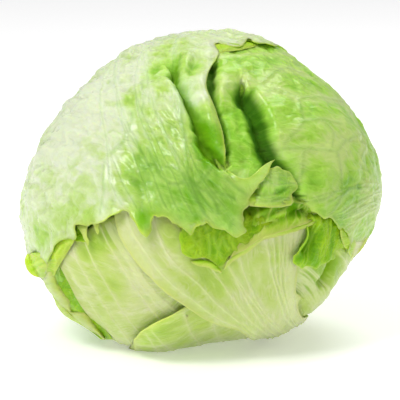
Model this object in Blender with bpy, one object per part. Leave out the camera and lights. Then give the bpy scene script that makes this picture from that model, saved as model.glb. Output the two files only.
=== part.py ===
"""A head of iceberg lettuce with its wrapper leaves, lying on its side with the cut stem low at the back.

Lengths are millimetres until a mesh is made, which is in metres. Places on the head are two angles in degrees,
seen from its face, which is the side where the leaf tips meet. The clock angle runs anticlockwise from the right,
and the tilt is 0 at the middle of the face, 90 on the rim and 180 at the middle of the back.
"""

import math

import bmesh
import bpy
import numpy as np
from mathutils import Matrix, Vector

MM = 0.001

# Driving sizes of the head: half-widths at 16 clock angles, half-depths, and how the face leans back
RIM_RADII = (85.0, 83.2, 78.2, 76.4, 75.8, 73.2, 73.5, 77.0, 83.5, 87.0, 84.6, 82.5, 74.0, 75.1, 78.4, 80.5)
FRONT_DEPTH = 80.0
BACK_DEPTH = 78.0
CENTRE = (-0.68, 1.20, 70.5)
FACE_LEAN = math.radians(12)
LUMP_HEIGHT = 0.9
LUMP_LENGTH = 34.0
# Each slow wave of the surface: its pace across, up and forward, and its start
LUMP_WAVES = ((1.7, 0.9, 0.0, 0.4), (0.0, 1.3, -1.1, 2.1), (1.2, 0.0, 1.5, 4.0))
# How much nearer the floor a layer lies than its depth in the head, where the head's weight presses it flat
FLOOR_GIVE = 1.2

# The stem: a cut stump that the leaves grow round
STEM_CLOCK = -51
STEM_TILT = 140
STEM_RADIUS = 14.0
STEM_CORE_RADIUS = 12.0
STEM_PROUD = 1.0
STEM_DEPTH = 13.0
STEM_SIDES = 28
STEM_BEVEL = 1.6

# Leaf blades: their thickness, where their bases start beside the stem, in degrees from its axis, and the
# half-width of the middle rib, in degrees
LEAF_THICKNESS = 1.0
INNER_LEAF_THICKNESS = 1.4
BASE_START = 11.6
RIB_HALF_WIDTH = 6.0
# The ruffle along a tip edge: the share of the leaf where it starts, and its two beats across the leaf
RUFFLE_START = 0.88
RUFFLE_BEATS = (41, 13)

# The tight heart: how deep it lies under the outermost leaves, and its gap to the stem
HEART_LEVEL = 9.6
HEART_SUBDIVISIONS = 4
HEART_STEM_GAP = 0.5
INNER_ROOT_DEPTH = 3.0
INNER_ROOT_SHARE = 0.35

PALE_GREEN = (0.62, 0.80, 0.38, 1.0)
MID_GREEN = (0.38, 0.64, 0.15, 1.0)
CREAM_GREEN = (0.70, 0.81, 0.48, 1.0)
BRIGHT_GREEN = (0.34, 0.62, 0.08, 1.0)
STEM_CREAM = (0.83, 0.79, 0.58, 1.0)

# Folds pressed into a leaf. A path is across and up from the middle of the face; left and right are how wide the
# fold is on each side of its path, going along it, and a negative depth is a ridge.
VALLEY_PLEAT = dict(path=((-14, 54), (-7.5, 43), (-2, 29), (1, 21)), depth=4.6, left=5.0, right=2.2)
VALLEY_RIDGE = dict(path=((0, 52), (3.5, 40), (7, 26), (9, 18)), depth=-1.6, left=3.0, right=2.6)
CROWN_DENT = dict(path=((-22, 56), (-19, 53)), depth=3.2, left=4.5, right=4.5)
CROWN_DENT_SMALL = dict(path=((-9, 62), (-4, 57)), depth=2.8, left=3.5, right=3.5)
SIDE_DENT = dict(path=((-32, 41), (-30, 36)), depth=1.8, left=4.0, right=4.0)
CHEEK_HOLLOW = dict(path=((-26, 16), (-20, 4), (-14, -2)), depth=2.2, left=8.0, right=8.0)
POCKET = dict(path=((21, 44), (25.5, 35), (28, 23), (31, 13), (37, 4)), depth=16.0, left=4.6, right=8.0)
PANEL = dict(path=((11, 40), (13, 28), (14, 16), (14, 7)), depth=5.0, left=7.0, right=7.0)
COLUMN_CREASE = dict(path=((16.5, 38), (18, 26), (19, 10)), depth=1.6, left=2.5, right=2.5)
RIGHT_RIB = dict(path=((40, 40), (54, 28), (60.5, 16), (61, 0), (58, -12)), depth=-1.4, left=7.0, right=7.0)
RIGHT_HOLLOW = dict(path=((44, 20), (50, 8)), depth=1.6, left=7.0, right=7.0)
FRONT_TROUGH = dict(path=((6, -46), (20, -47), (34, -40)), depth=1.2, left=8.0, right=8.0)
HEART_VALLEY = dict(path=((5, 54), (10, 44), (20, 40), (26, 24), (28, 12), (32, 7)), depth=14.0, left=14.0, right=14.0)

# Wrapper leaves. Each runs from the stem over the rim at its heading to its tip edge. Edges are drawn through
# (clock, tilt) places. Levels are depths under the outermost surface, at even steps from the left side to the
# right side, at the base and at the tip; the change from one to the other starts at the share `turn` of the length.
# The base goes round the stem by base_spread degrees to its left and right.
LEAVES = {
    "leaf_left": dict(
        heading=145, base_spread=(45, 74), rib=1.8, turn=0.0, base=(0.0, 0.0), tip=(0.0, 0.0),
        left_edge=((-125, 136), (-145, 116), (-155, 99), (-158, 89)),
        tip_edge=(
            (-158, 89), (-154, 84), (-152, 67), (-155, 55), (-157, 46), (-162, 38), (-159, 35), (-165, 26),
            (-166, 22), (-153, 20), (-139, 21), (-146, 14), (-129, 12), (-103, 15), (-82, 12), (-59, 14),
            (-53, 19), (-36, 17), (-16, 15), (-2, 13), (27, 12), (46, 12),
        ),
        right_edge=(
            (-4, 152), (30, 134), (53, 113), (64, 91), (71, 75), (77, 65), (84, 61), (85, 56), (86, 50), (87, 43),
            (86, 36), (81, 28), (67, 19), (46, 12),
        ),
        folds=(VALLEY_PLEAT, VALLEY_RIDGE, CROWN_DENT, CROWN_DENT_SMALL, SIDE_DENT, CHEEK_HOLLOW),
        rows=24, row_bend=(0.40, 0.55), columns=34, column_bend=(0.45, 0.55), ruffle=1.8, colour=PALE_GREEN,
    ),
    "leaf_right": dict(
        heading=5, base_spread=(74, 24), rib=1.6, turn=0.0, base=(3.0, 2.0, 0.6, 0.5), tip=(3.6, 2.8, 1.4, 0.5, 0.5),
        left_edge=((14, 150), (52, 129), (72, 106), (70, 86), (70, 69)),
        tip_edge=(
            (70, 69), (76, 62), (80, 56), (82, 50), (81, 45), (80, 39), (80, 32), (76, 24), (65, 15), (41, 10),
            (13, 12), (5, 19), (1, 26), (-4, 32), (-9, 36), (-13, 41),
        ),
        right_edge=(
            (-33, 122), (-26, 102), (-22, 84), (-23, 70), (-19, 65), (-15, 57), (-13, 50), (-11, 45), (-13, 41),
        ),
        folds=(POCKET, PANEL, COLUMN_CREASE, RIGHT_RIB, RIGHT_HOLLOW),
        rows=32, row_bend=(0.25, 0.62), columns=25, column_bend=(0.5, 0.5), ruffle=0.6, colour=MID_GREEN,
    ),
    "leaf_front": dict(
        heading=-62, base_spread=(14, 14), rib=1.2, turn=0.35, base=(0.4, 0.4, 0.5), tip=(3.4, 5.0, 5.2, 5.2, 5.2),
        left_edge=(
            (-66, 95), (-70, 81), (-74, 65), (-82, 58), (-90, 51), (-103, 40), (-119, 33), (-132, 31),
            (-149, 29), (-165, 28),
        ),
        tip_edge=(
            (-165, 28), (-170, 22), (-160, 16), (-130, 14), (-100, 17), (-80, 20), (-62, 24), (-50, 27),
            (-40, 29), (-30, 34), (-26, 40), (-35, 46),
        ),
        right_edge=((-49, 94), (-51, 78), (-47, 61), (-42, 51), (-35, 46)),
        folds=(FRONT_TROUGH,),
        rows=20, row_bend=(0.4, 0.4), columns=20, column_bend=(0.5, 0.5), ruffle=0.3, colour=CREAM_GREEN,
    ),
    "leaf_lower_right": dict(
        heading=-36, base_spread=(20, 20), rib=0.8, turn=0.55, base=(3.2, 2.4, 0.8, 2.4, 3.4), tip=(4.4, 4.5, 4.6, 5.6, 6.6),
        left_edge=((-18, 112), (-9, 92), (-7, 74)),
        tip_edge=((-7, 74), (-16, 58), (-25, 53), (-35, 52), (-45, 58), (-53, 68)),
        right_edge=((-56, 112), (-54, 92), (-53, 80), (-53, 68)),
        folds=(),
        rows=13, row_bend=(0.5, 0.5), columns=12, column_bend=(0.5, 0.5), ruffle=0.3, colour=CREAM_GREEN,
    ),
    "leaf_bottom": dict(
        heading=-90, base_spread=(16, 16), rib=1.2, turn=0.4, base=(0.3, 0.3, 0.3, 0.5, 3.2), tip=(1.6, 1.8, 4.8, 5.2, 5.4),
        left_edge=((-99, 118), (-108, 100), (-112, 82), (-114, 66)),
        tip_edge=((-114, 66), (-112, 56), (-108, 51), (-100, 47), (-92, 46), (-83, 47), (-75, 53), (-66, 63)),
        right_edge=((-63, 112), (-62, 92), (-63, 76), (-66, 63)),
        folds=(),
        rows=14, row_bend=(0.4, 0.4), columns=14, column_bend=(0.5, 0.5), ruffle=0.3, colour=CREAM_GREEN,
    ),
    "leaf_lower_left": dict(
        heading=-112, base_spread=(20, 20), rib=1.0, turn=0.2, base=(3.0, 4.5, 6.0), tip=(2.7, 3.2, 5.0, 7.0),
        left_edge=((-124, 122), (-121, 104), (-121, 89), (-126, 80), (-133, 71), (-141, 64), (-147, 60), (-153, 56)),
        tip_edge=((-153, 56), (-158, 50), (-160, 42), (-163, 34), (-163, 25)),
        right_edge=((-88, 112), (-83, 88), (-80, 66), (-86, 52), (-100, 38), (-127, 27), (-163, 25)),
        folds=(),
        rows=18, row_bend=(0.35, 0.35), columns=16, column_bend=(0.5, 0.5), ruffle=0.2, colour=CREAM_GREEN,
    ),
    "leaf_far_left": dict(
        heading=-150, base_spread=(24, 20), rib=0.5, turn=0.3, base=(3.0, 5.6), tip=(2.6, 4.5, 5.6),
        left_edge=(
            (-166, 130), (-167, 112), (-158, 100), (-147, 93), (-143, 88), (-145, 80), (-147, 73), (-151, 69),
            (-155, 64),
        ),
        tip_edge=((-155, 64), (-155, 56), (-150, 50)),
        right_edge=((-118, 120), (-112, 98), (-112, 82), (-123, 70), (-136, 60), (-150, 50)),
        folds=(),
        rows=14, row_bend=(0.4, 0.4), columns=12, column_bend=(0.5, 0.5), ruffle=0.2, colour=MID_GREEN,
    ),
}

# Leaves of the heart that stand out of it between the wrapper leaves, drawn from the edge rooted in the heart to the
# tip edge. Their places are degrees up and across from the middle of the face, and levels run from root to tip.
HEART_LEAVES = {
    "front_tongue": dict(
        root_edge=((-4, -9), (-2, 4), (-6, 17)),
        left_edge=((-4, -9), (-11, -8), (-17, -6)),
        tip_edge=((-17, -6), (-21, -5), (-24.5, -2), (-26, 2), (-28, 5), (-28.5, 7.5), (-24, 11)),
        right_edge=((-6, 17), (-14, 16), (-20, 14), (-24, 11)),
        levels=(9.0, 6.0, 3.2, 2.4, 2.2), rows=12, columns=12,
    ),
    "rolled_band": dict(
        root_edge=((-8, 16), (-4, 21), (-3, 28), (-4, 36), (-8, 42)),
        left_edge=((-8, 16), (-16, 13.5), (-24, 10.5)),
        tip_edge=((-24, 10.5), (-22, 15), (-19, 20), (-16.5, 28), (-15.5, 36), (-15, 43)),
        right_edge=((-8, 42), (-11, 43), (-15, 43)),
        levels=(9.0, 5.0, 3.0, 2.0), rows=8, columns=14,
    ),
    "right_flap": dict(
        root_edge=((-10, 37), (-9, 43), (-12, 50)),
        left_edge=((-10, 37), (-16, 36.5), (-22, 35), (-27, 32.5)),
        tip_edge=((-27, 32.5), (-31, 34), (-34, 38), (-36.5, 42), (-39, 47), (-39, 52), (-35, 57)),
        right_edge=((-12, 50), (-20, 55), (-28, 58), (-35, 57)),
        levels=(9.0, 3.4, 2.4, 2.6), rows=12, columns=12,
    ),
    "curled_tip": dict(
        root_edge=((-6, 16), (-6, 21), (-6, 27)),
        left_edge=((-6, 16), (-2, 15.4), (3, 15.2)),
        tip_edge=((3, 15.2), (6, 17), (8, 20), (10, 23.5), (7.6, 24), (7.4, 26.5), (4.5, 29.2)),
        right_edge=((-6, 27), (-3, 28), (1.5, 29.6), (4.5, 29.2)),
        levels=(9.0, -0.5, 1.5, -2.5, -1.2), rows=12, columns=12,
    ),
}


def eased(share):
    """A share from 0 to 1 with a soft start and end."""
    share = np.clip(share, 0, 1)
    return share * share * (3 - 2 * share)


def curve_through(points, shares):
    """Points on a smooth curve through the given ones, at shares of its length."""
    points = np.array(points, float)
    ends = np.vstack([2 * points[0] - points[1], points, 2 * points[-1] - points[-2]])
    step = np.linspace(0, 1, 24, endpoint=False)[:, None]
    dense = []
    for a, b, c, d in zip(ends[:-3], ends[1:-2], ends[2:-1], ends[3:]):
        dense.append(b + 0.5 * step * (c - a + step * (2 * a - 5 * b + 4 * c - d + step * (3 * (b - c) + d - a))))
    dense = np.vstack(dense + [points[-1:]])
    length = np.concatenate([[0], np.cumsum(np.linalg.norm(np.diff(dense, axis=0), axis=1))])
    return np.stack([np.interp(shares, length / length[-1], axis) for axis in dense.T], axis=1)


def smooth_levels(levels, shares):
    """Levels that are given at even steps, read at shares of the way."""
    dense = curve_through(np.stack([np.linspace(0, 1, len(levels)), levels], axis=1), np.linspace(0, 1, 200))
    return np.interp(shares, dense[:, 0], dense[:, 1])


def direction(clock, tilt):
    """Unit vector (across, up, forward) of a place on the head."""
    clock, tilt = np.radians(clock), np.radians(tilt)
    return np.stack([np.sin(tilt) * np.cos(clock), np.sin(tilt) * np.sin(clock), np.cos(tilt)], axis=-1)


STEM_AXIS = direction(STEM_CLOCK, STEM_TILT)


def rim_radius(clock):
    """Half-width of the head at a clock angle in radians, on a smooth closed curve through the driving sizes."""
    turn = (clock / (2 * math.pi) % 1) * len(RIM_RADII)
    first = np.floor(turn).astype(int)
    step = turn - first
    a, b, c, d = (np.array(RIM_RADII)[(first + k) % len(RIM_RADII)] for k in (-1, 0, 1, 2))
    return b + 0.5 * step * (c - a + step * (2 * a - 5 * b + 4 * c - d + step * (3 * (b - c) + d - a)))


def lumps(unit):
    """Slow swellings of the whole head, which all its layers share."""
    pace = 2 * FRONT_DEPTH / LUMP_LENGTH
    waves = sum(np.sin(pace * unit @ np.array(wave[:3]) + wave[3]) for wave in LUMP_WAVES)
    return LUMP_HEIGHT * waves / 1.8


def envelope(unit):
    """The outermost surface of the head towards each unit vector, and its outward normal."""
    around = rim_radius(np.arctan2(unit[:, 1], unit[:, 0]))
    depth = np.where(unit[:, 2] > 0, FRONT_DEPTH, BACK_DEPTH)
    sizes = np.stack([around, around, depth], axis=1)
    normal = unit / sizes
    normal /= np.linalg.norm(normal, axis=1)[:, None]
    return unit * sizes + lumps(unit)[:, None] * normal, normal


STEM_REACH = float(envelope(STEM_AXIS[None])[0][0] @ STEM_AXIS)


def fold_depth(points, folds):
    """How deep the folds press the surface in at each point."""
    depth = np.zeros(len(points))
    for fold in folds:
        path = curve_through(fold["path"], np.linspace(0, 1, 60))
        along = np.gradient(path, axis=0)
        along /= np.linalg.norm(along, axis=1)[:, None]
        away = points[:, None, :2] - path[None]
        near = np.argmin((away**2).sum(axis=2), axis=1)
        away = away[np.arange(len(points)), near]
        leftwards = along[near, 0] * away[:, 1] - along[near, 1] * away[:, 0]
        width = np.where(leftwards > 0, fold["left"], fold["right"])
        depth += fold["depth"] * np.exp(-((np.linalg.norm(away, axis=1) / width) ** 2))
    return depth * eased(points[:, 2] / 15)


def to_world(points, level):
    """Turns (across, up, forward) points to the object's frame, laid on the floor."""
    across, up, forward = points.T
    height = CENTRE[2] + up * math.cos(FACE_LEAN) + forward * math.sin(FACE_LEAN)
    height = np.maximum(height, np.maximum(level - FLOOR_GIVE, 0))
    depth = CENTRE[1] + up * math.sin(FACE_LEAN) - forward * math.cos(FACE_LEAN)
    return np.stack([CENTRE[0] + across, depth, height], axis=1)


def heart_level(unit):
    """Depth of the heart's own surface under the outermost one."""
    points, _ = envelope(unit)
    return HEART_LEVEL + fold_depth(points, (HEART_VALLEY,))


def place(unit, level, folds=()):
    """Points of a layer that lies at a level under the outermost surface, with its folds."""
    points, normal = envelope(unit)
    points = points - (level + fold_depth(points, folds))[:, None] * normal
    return to_world(points, level)


class Wrap:
    """A flat map of the head: degrees along a great circle from its start, and degrees to its side."""

    def __init__(self, start, towards):
        self.start = start
        self.side = np.cross(towards, start)
        self.side /= np.linalg.norm(self.side)
        self.ahead = np.cross(start, self.side)

    def flat(self, places):
        unit = direction(*np.array(places, float).T)
        along = np.degrees(np.arctan2(unit @ self.ahead, unit @ self.start))
        return np.stack([(along + 90) % 360 - 90, np.degrees(np.arcsin(unit @ self.side))], axis=1)

    def unit(self, flat):
        along, side = np.radians(flat[..., 0]), np.radians(flat[..., 1])
        middle = np.cos(along)[..., None] * self.start + np.sin(along)[..., None] * self.ahead
        return np.cos(side)[..., None] * middle + np.sin(side)[..., None] * self.side


def patch(root, left, tip, right, rows, columns):
    """A grid of flat points inside four edge curves that share their corners."""
    u, v = rows[:, None, None], columns[None, :, None]
    left, right = curve_through(left, rows)[:, None], curve_through(right, rows)[:, None]
    root, tip = curve_through(root, columns)[None], curve_through(tip, columns)[None]
    corners = (1 - u) * ((1 - v) * root[:, :1] + v * root[:, -1:]) + u * ((1 - v) * tip[:, :1] + v * tip[:, -1:])
    return (1 - v) * left + v * right + (1 - u) * root + u * tip - corners


def steps(count, bend):
    """Shares from 0 to 1 that are closer on one side of a bend (share of the steps, share of the way)."""
    return np.interp(np.linspace(0, 1, count + 1), (0, bend[0], 1), (0, bend[1], 1))


def wrapper_points(leaf):
    """Grid of points on the outer face of a wrapper leaf."""
    wrap = Wrap(STEM_AXIS, direction(leaf["heading"], 90))
    left, tip, right = (wrap.flat(leaf[edge]) for edge in ("left_edge", "tip_edge", "right_edge"))
    to_left, to_right = np.radians(leaf["base_spread"]) * np.sign(tip[-1, 1] - tip[0, 1])
    bearing = np.linspace(-to_left, to_right, 5)
    base = BASE_START * np.stack([np.cos(bearing), np.sin(bearing)], axis=1)
    rows, columns = steps(leaf["rows"], leaf["row_bend"]), steps(leaf["columns"], leaf["column_bend"])
    flat = patch(base, np.vstack([base[:1], left]), tip, np.vstack([base[-1:], right]), rows, columns)
    u, v = rows[:, None], columns[None]
    share = eased((u - leaf["turn"]) / (1 - leaf["turn"]))
    level = (1 - share) * smooth_levels(leaf["base"], v) + share * smooth_levels(leaf["tip"], v)
    rib = leaf["rib"] * (1 - u) ** 2 * (4 * v * (1 - v)) ** 2 * np.exp(-((flat[..., 1] / RIB_HALF_WIDTH) ** 2))
    wave = (1 + np.sin(RUFFLE_BEATS[0] * v) * np.sin(RUFFLE_BEATS[1] * v + 1)) / 2
    level = level - rib - leaf["ruffle"] * eased((u - RUFFLE_START) / (1 - RUFFLE_START)) * wave
    return place(wrap.unit(flat).reshape(-1, 3), level.ravel(), leaf["folds"]).reshape(*level.shape, 3)


def heart_leaf_points(leaf):
    """Grid of points on the outer face of a heart leaf."""
    wrap = Wrap(direction(0, 0), direction(90, 90))
    edges = [leaf[edge] for edge in ("root_edge", "left_edge", "tip_edge", "right_edge")]
    rows, columns = np.linspace(0, 1, leaf["rows"] + 1), np.linspace(0, 1, leaf["columns"] + 1)
    unit = wrap.unit(patch(*edges, rows, columns))
    share = np.repeat(eased(rows / INNER_ROOT_SHARE), len(columns))
    outer = np.repeat(smooth_levels(leaf["levels"], rows), len(columns))
    unit = unit.reshape(-1, 3)
    level = (1 - share) * (heart_level(unit) + INNER_ROOT_DEPTH) + share * outer
    return place(unit, level).reshape(len(rows), len(columns), 3)


def leaf_material(name, colour, roughness):
    made = bpy.data.materials.new(name)
    made.use_nodes = True
    shader = made.node_tree.nodes["Principled BSDF"]
    shader.inputs["Base Color"].default_value = colour
    shader.inputs["Roughness"].default_value = roughness
    return made


def new_object(name, bm, surface):
    """Makes an object from a bmesh in millimetres."""
    bmesh.ops.scale(bm, vec=(MM, MM, MM), verts=bm.verts)
    mesh = bpy.data.meshes.new(name)
    bm.to_mesh(mesh)
    bm.free()
    mesh.materials.append(surface)
    mesh.shade_smooth()
    made = bpy.data.objects.new(name, mesh)
    bpy.context.scene.collection.objects.link(made)
    return made


def blade(name, points, thickness, surface):
    """A leaf blade: a grid bent through the points, split into triangles and given its thickness inwards."""
    rows, columns = points.shape[0] - 1, points.shape[1] - 1
    bm = bmesh.new()
    bmesh.ops.create_grid(bm, x_segments=columns, y_segments=rows, size=1)
    for vert in bm.verts:
        vert.co = points[round((vert.co.y + 1) / 2 * rows), round((vert.co.x + 1) / 2 * columns)]
    bmesh.ops.triangulate(bm, faces=bm.faces, quad_method="SHORT_EDGE")
    bm.normal_update()
    if sum(face.normal.dot(face.calc_center_median() - Vector(CENTRE)) for face in bm.faces) < 0:
        bmesh.ops.reverse_faces(bm, faces=bm.faces)
    made = new_object(name, bm, surface)
    wall = made.modifiers.new("Blade thickness", "SOLIDIFY")
    wall.thickness = thickness * MM
    wall.offset = -1
    return made


def make_wrapper_leaves():
    for name, leaf in LEAVES.items():
        blade(name, wrapper_points(leaf), LEAF_THICKNESS, leaf_material(name, leaf["colour"], 0.4))


def make_heart():
    """The dense ball of folded leaves, with the few that stand out of it joined on."""
    surface = leaf_material("heart", BRIGHT_GREEN, 0.45)
    bm = bmesh.new()
    bmesh.ops.create_icosphere(bm, subdivisions=HEART_SUBDIVISIONS, radius=1)
    unit = np.array([vert.co.normalized() for vert in bm.verts])
    points, normal = envelope(unit)
    points = points - heart_level(unit)[:, None] * normal
    beyond = np.maximum(points @ STEM_AXIS - (STEM_REACH - STEM_DEPTH - HEART_STEM_GAP), 0)
    points = to_world(points - beyond[:, None] * STEM_AXIS, HEART_LEVEL)
    for vert, point in zip(bm.verts, points):
        vert.co = point
    bmesh.ops.recalc_face_normals(bm, faces=bm.faces)
    heart = new_object("heart", bm, surface)
    heart_leaves = bpy.data.collections.new("Heart leaves")
    bpy.context.scene.collection.children.link(heart_leaves)
    for name, leaf in HEART_LEAVES.items():
        made = blade(name, heart_leaf_points(leaf), INNER_LEAF_THICKNESS, surface)
        bpy.context.scene.collection.objects.unlink(made)
        heart_leaves.objects.link(made)
    join = heart.modifiers.new("Heart leaves", "BOOLEAN")
    join.operation = "UNION"
    join.operand_type = "COLLECTION"
    join.solver = "MANIFOLD"
    join.collection = heart_leaves
    joined = bpy.data.meshes.new_from_object(heart.evaluated_get(bpy.context.evaluated_depsgraph_get()))
    heart.modifiers.clear()
    heart.data = joined
    for made in list(heart_leaves.objects):
        bpy.data.objects.remove(made)
    bpy.data.collections.remove(heart_leaves)


def make_stem():
    """The cut stump: a short plug along the stem's axis, with its cut edge rounded."""
    bm = bmesh.new()
    length = STEM_DEPTH + STEM_PROUD
    bmesh.ops.create_cone(
        bm, cap_ends=True, segments=STEM_SIDES, radius1=STEM_CORE_RADIUS, radius2=STEM_RADIUS, depth=length
    )
    rim = [edge for edge in bm.edges if all(vert.co.z > 0 for vert in edge.verts)]
    bmesh.ops.bevel(bm, geom=rim, offset=STEM_BEVEL, segments=2, profile=0.5, affect="EDGES")
    middle, outer = to_world(np.stack([STEM_AXIS * (STEM_REACH + STEM_PROUD - length / 2), STEM_AXIS * STEM_REACH]), 0)
    turn = Vector(outer - middle).to_track_quat("Z", "Y").to_matrix().to_4x4()
    bmesh.ops.transform(bm, matrix=Matrix.Translation(middle) @ turn, verts=bm.verts)
    new_object("stem", bm, leaf_material("stem", STEM_CREAM, 0.6))


def main():
    for old in list(bpy.data.objects):
        bpy.data.objects.remove(old)
    make_heart()
    make_stem()
    make_wrapper_leaves()


main()
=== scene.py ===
"""The looks of a head of iceberg lettuce: leaves with veins, blisters and torn margins, and the cut stem.

Lengths are millimetres until a mesh is made, which is in metres. A place on the head is two angles in
degrees, seen from its face, where the leaf tips meet: the clock angle runs anticlockwise from the right, and
the tilt is 0 at the middle of the face, 90 on the rim and 180 at the middle of the back. A place that shows
in the picture may be given by its pixel instead, in a picture 400 pixels wide.
"""

import math

import bpy
import numpy as np
from mathutils import Matrix, Vector
from mathutils.kdtree import KDTree


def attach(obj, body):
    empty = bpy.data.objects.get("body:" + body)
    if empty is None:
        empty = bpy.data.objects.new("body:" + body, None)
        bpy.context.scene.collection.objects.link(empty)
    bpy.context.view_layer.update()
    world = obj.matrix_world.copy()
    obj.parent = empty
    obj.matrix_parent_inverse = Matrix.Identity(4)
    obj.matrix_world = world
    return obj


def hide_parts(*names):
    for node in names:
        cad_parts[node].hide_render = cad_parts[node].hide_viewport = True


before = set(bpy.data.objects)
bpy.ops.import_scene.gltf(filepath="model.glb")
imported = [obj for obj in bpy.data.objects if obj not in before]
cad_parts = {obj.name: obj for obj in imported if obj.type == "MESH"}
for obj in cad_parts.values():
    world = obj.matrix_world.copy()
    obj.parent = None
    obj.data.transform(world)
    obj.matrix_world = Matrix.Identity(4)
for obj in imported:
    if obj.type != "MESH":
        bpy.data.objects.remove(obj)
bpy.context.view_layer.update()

MM = 0.001

# The head: half-widths at 16 clock angles, half-depths, its middle, and how its face leans back
RIM_RADII = (85.0, 83.2, 78.2, 76.4, 75.8, 73.2, 73.5, 77.0, 83.5, 87.0, 84.6, 82.5, 74.0, 75.1, 78.4, 80.5)
FRONT_DEPTH = 80.0
BACK_DEPTH = 78.0
CENTRE = (-0.68, 1.20, 70.5)
FACE_LEAN = math.radians(12)
LUMP_HEIGHT = 0.9
LUMP_LENGTH = 34.0
LUMP_WAVES = ((1.7, 0.9, 0.0, 0.4), (0.0, 1.3, -1.1, 2.1), (1.2, 0.0, 1.5, 4.0))
WAVES_PEAK = 1.8
FLOOR_GIVE = 1.2
FOLD_FADE = 15.0

# Curves: points on each span, along a fold and in a row of levels; rounds in which a pixel's place is found
CURVE_STEPS = 24
FOLD_STEPS = 60
LEVEL_STEPS = 200
SEEN_ROUNDS = 3

# The stem, and its cut face from the middle out: shares of its radius, and heights over its rim
STEM_CLOCK = -51
STEM_TILT = 140
STEM_RADIUS = 14.0
STEM_CORE_RADIUS = 12.0
STEM_PROUD = 1.0
STEM_DEPTH = 13.0
STEM_OUT = (0.0, 0.35, 0.7, 0.86, 0.95, 1.0, 0.99)
STEM_HEIGHTS = (-0.5, -0.45, -0.2, 0.0, -0.25, -1.1, -3.0)
STEM_RINGS = 25
STEM_SIDES = 96
BASE_START = 11.6
RIB_HALF_WIDTH = 6.0

# The heart under the leaves
HEART_LEVEL = 9.6
HEART_STEM_GAP = 0.5
INNER_ROOT_DEPTH = 3.0
INNER_ROOT_SHARE = 0.35

# The picture: where its middle lies on the head, a pixel's size there, and how far away it is taken from
PICTURE_SIDE = 400
PICTURE_MIDDLE = (200.0, 191.0)
PIXEL = 0.471
CAMERA_DISTANCE = 1100.0
SENSOR = 36.0

# Blades: their thickness, where they thin to a torn margin, how much thicker they are in a deep fold, one
# degree's length on the head, and how a grid is evened out: how much coarser it is and in how many rounds
BLADE_THICKNESS = 1.0
MARGIN_THICKNESS = 0.45
MARGIN_TAPER = 5.0
FOLD_THICKENING = 1.2
FOLD_FULL_DEPTH = 4.0
HEAD_RADIUS = 78.0
DEGREE = math.radians(1) * HEAD_RADIUS
INNER_FACE_STEP = 2
FAN_RADIUS = 60.0
RELAXING = ((9, 300), (4, 160), (2, 120), (1, 90))
FEWEST_POINTS = 9

# Teeth: where they fade out at a margin's ends; the ranges of their places, heights and widths, as shares of
# their spacing and height; and how far the margin between them is set back
TOOTH_FADE = 4.0
TOOTH_PLACES = (0.2, 0.8)
TOOTH_HEIGHTS = (0.3, 1.3)
TOOTH_WIDTHS = (0.12, 0.3)
TOOTH_SETBACK = 0.3
WAVE_PACES = (0.7, 1.4)

# Veins: their height in metres; their half-width in mm at first and at its least, and what it loses at each
# step; a step's share of the leaf's length; the shares of the leaf between which they stay; how much they
# wander; how far along they fork first and again; how far a branch turns aside, how thick it is beside the
# vein and how far the vein recoils from it; and how many lines may come of one. Drawn veins have a half-
# width of their own at each end.
VEIN_HEIGHT = 0.0005
VEIN_START = 0.9
VEIN_THINNEST = 0.42
VEIN_THINNING = 0.0035
VEIN_STEP = 0.006
VEIN_BOUNDS = (0.015, 0.985)
VEIN_WANDER = 0.05
FIRST_FORK = (0.10, 0.24)
NEXT_FORK = (0.08, 0.22)
FORK_SPREAD = (0.22, 0.5)
FORK_WIDTH = 0.8
FORK_RECOIL = 0.4
MOST_FORKS = 5
DRAWN_WIDTHS = (1.05, 0.7)
DRAWN_STEPS = 28

# Random seeds: the first of the wrapper leaves, of the heart's leaves and of the margins; what is added to a
# leaf's own for its veins; and what it is multiplied by for its relief
FIRST_SEEDS = (1, 21, 41)
VEIN_SEEDS = 100
RELIEF_SEED = 7.3

# The light and the floor
KEY_LIGHT = dict(place=(-0.62, -0.75, 1.18), size=0.6, power=14.6)
TOP_LIGHT = dict(place=(0.4, 0.3, 1.25), size=0.7, power=7.0)
LIT_MIDDLE = (0, 0, 0.07)
SKY_STRENGTH = 0.5
FLOOR_SIDE = 6.0
FLOOR_TONE = 0.93
FLOOR_GLOW = 0.26

# The surface of the head


def eased(share):
    """A share from 0 to 1 with a soft start and end."""
    share = np.clip(share, 0, 1)
    return share * share * (3 - 2 * share)


def unit_rows(vectors):
    """Vectors made one long."""
    return vectors / np.maximum(np.linalg.norm(vectors, axis=-1, keepdims=True), 1e-9)


def spline(a, b, c, d, step):
    """A place between b and c on a smooth curve that also runs through a and d."""
    return b + 0.5 * step * (c - a + step * (2 * a - 5 * b + 4 * c - d + step * (3 * (b - c) + d - a)))


def way_along(line):
    """How far along a line each of its points is."""
    return np.concatenate([[0], np.cumsum(np.linalg.norm(np.diff(line, axis=0), axis=1))])


def curve_through(points, shares):
    """Points on a smooth curve through the given ones, at shares of its length."""
    points = np.array(points, float)
    ends = np.vstack([2 * points[0] - points[1], points, 2 * points[-1] - points[-2]])
    step = np.linspace(0, 1, CURVE_STEPS, endpoint=False)[:, None]
    dense = [spline(*four, step) for four in zip(ends[:-3], ends[1:-2], ends[2:-1], ends[3:])]
    dense = np.vstack(dense + [points[-1:]])
    way = way_along(dense)
    return np.stack([np.interp(shares, way / way[-1], axis) for axis in dense.T], axis=1)


def smooth_levels(levels, shares):
    """Levels that are given at even steps, read at shares of the way."""
    known = np.stack([np.linspace(0, 1, len(levels)), levels], axis=1)
    dense = curve_through(known, np.linspace(0, 1, LEVEL_STEPS))
    return np.interp(shares, dense[:, 0], dense[:, 1])


def direction(clock, tilt):
    """Unit vector (across, up, forward) of a place on the head."""
    clock, tilt = np.radians(clock), np.radians(tilt)
    return np.stack([np.sin(tilt) * np.cos(clock), np.sin(tilt) * np.sin(clock), np.cos(tilt)], axis=-1)


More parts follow.
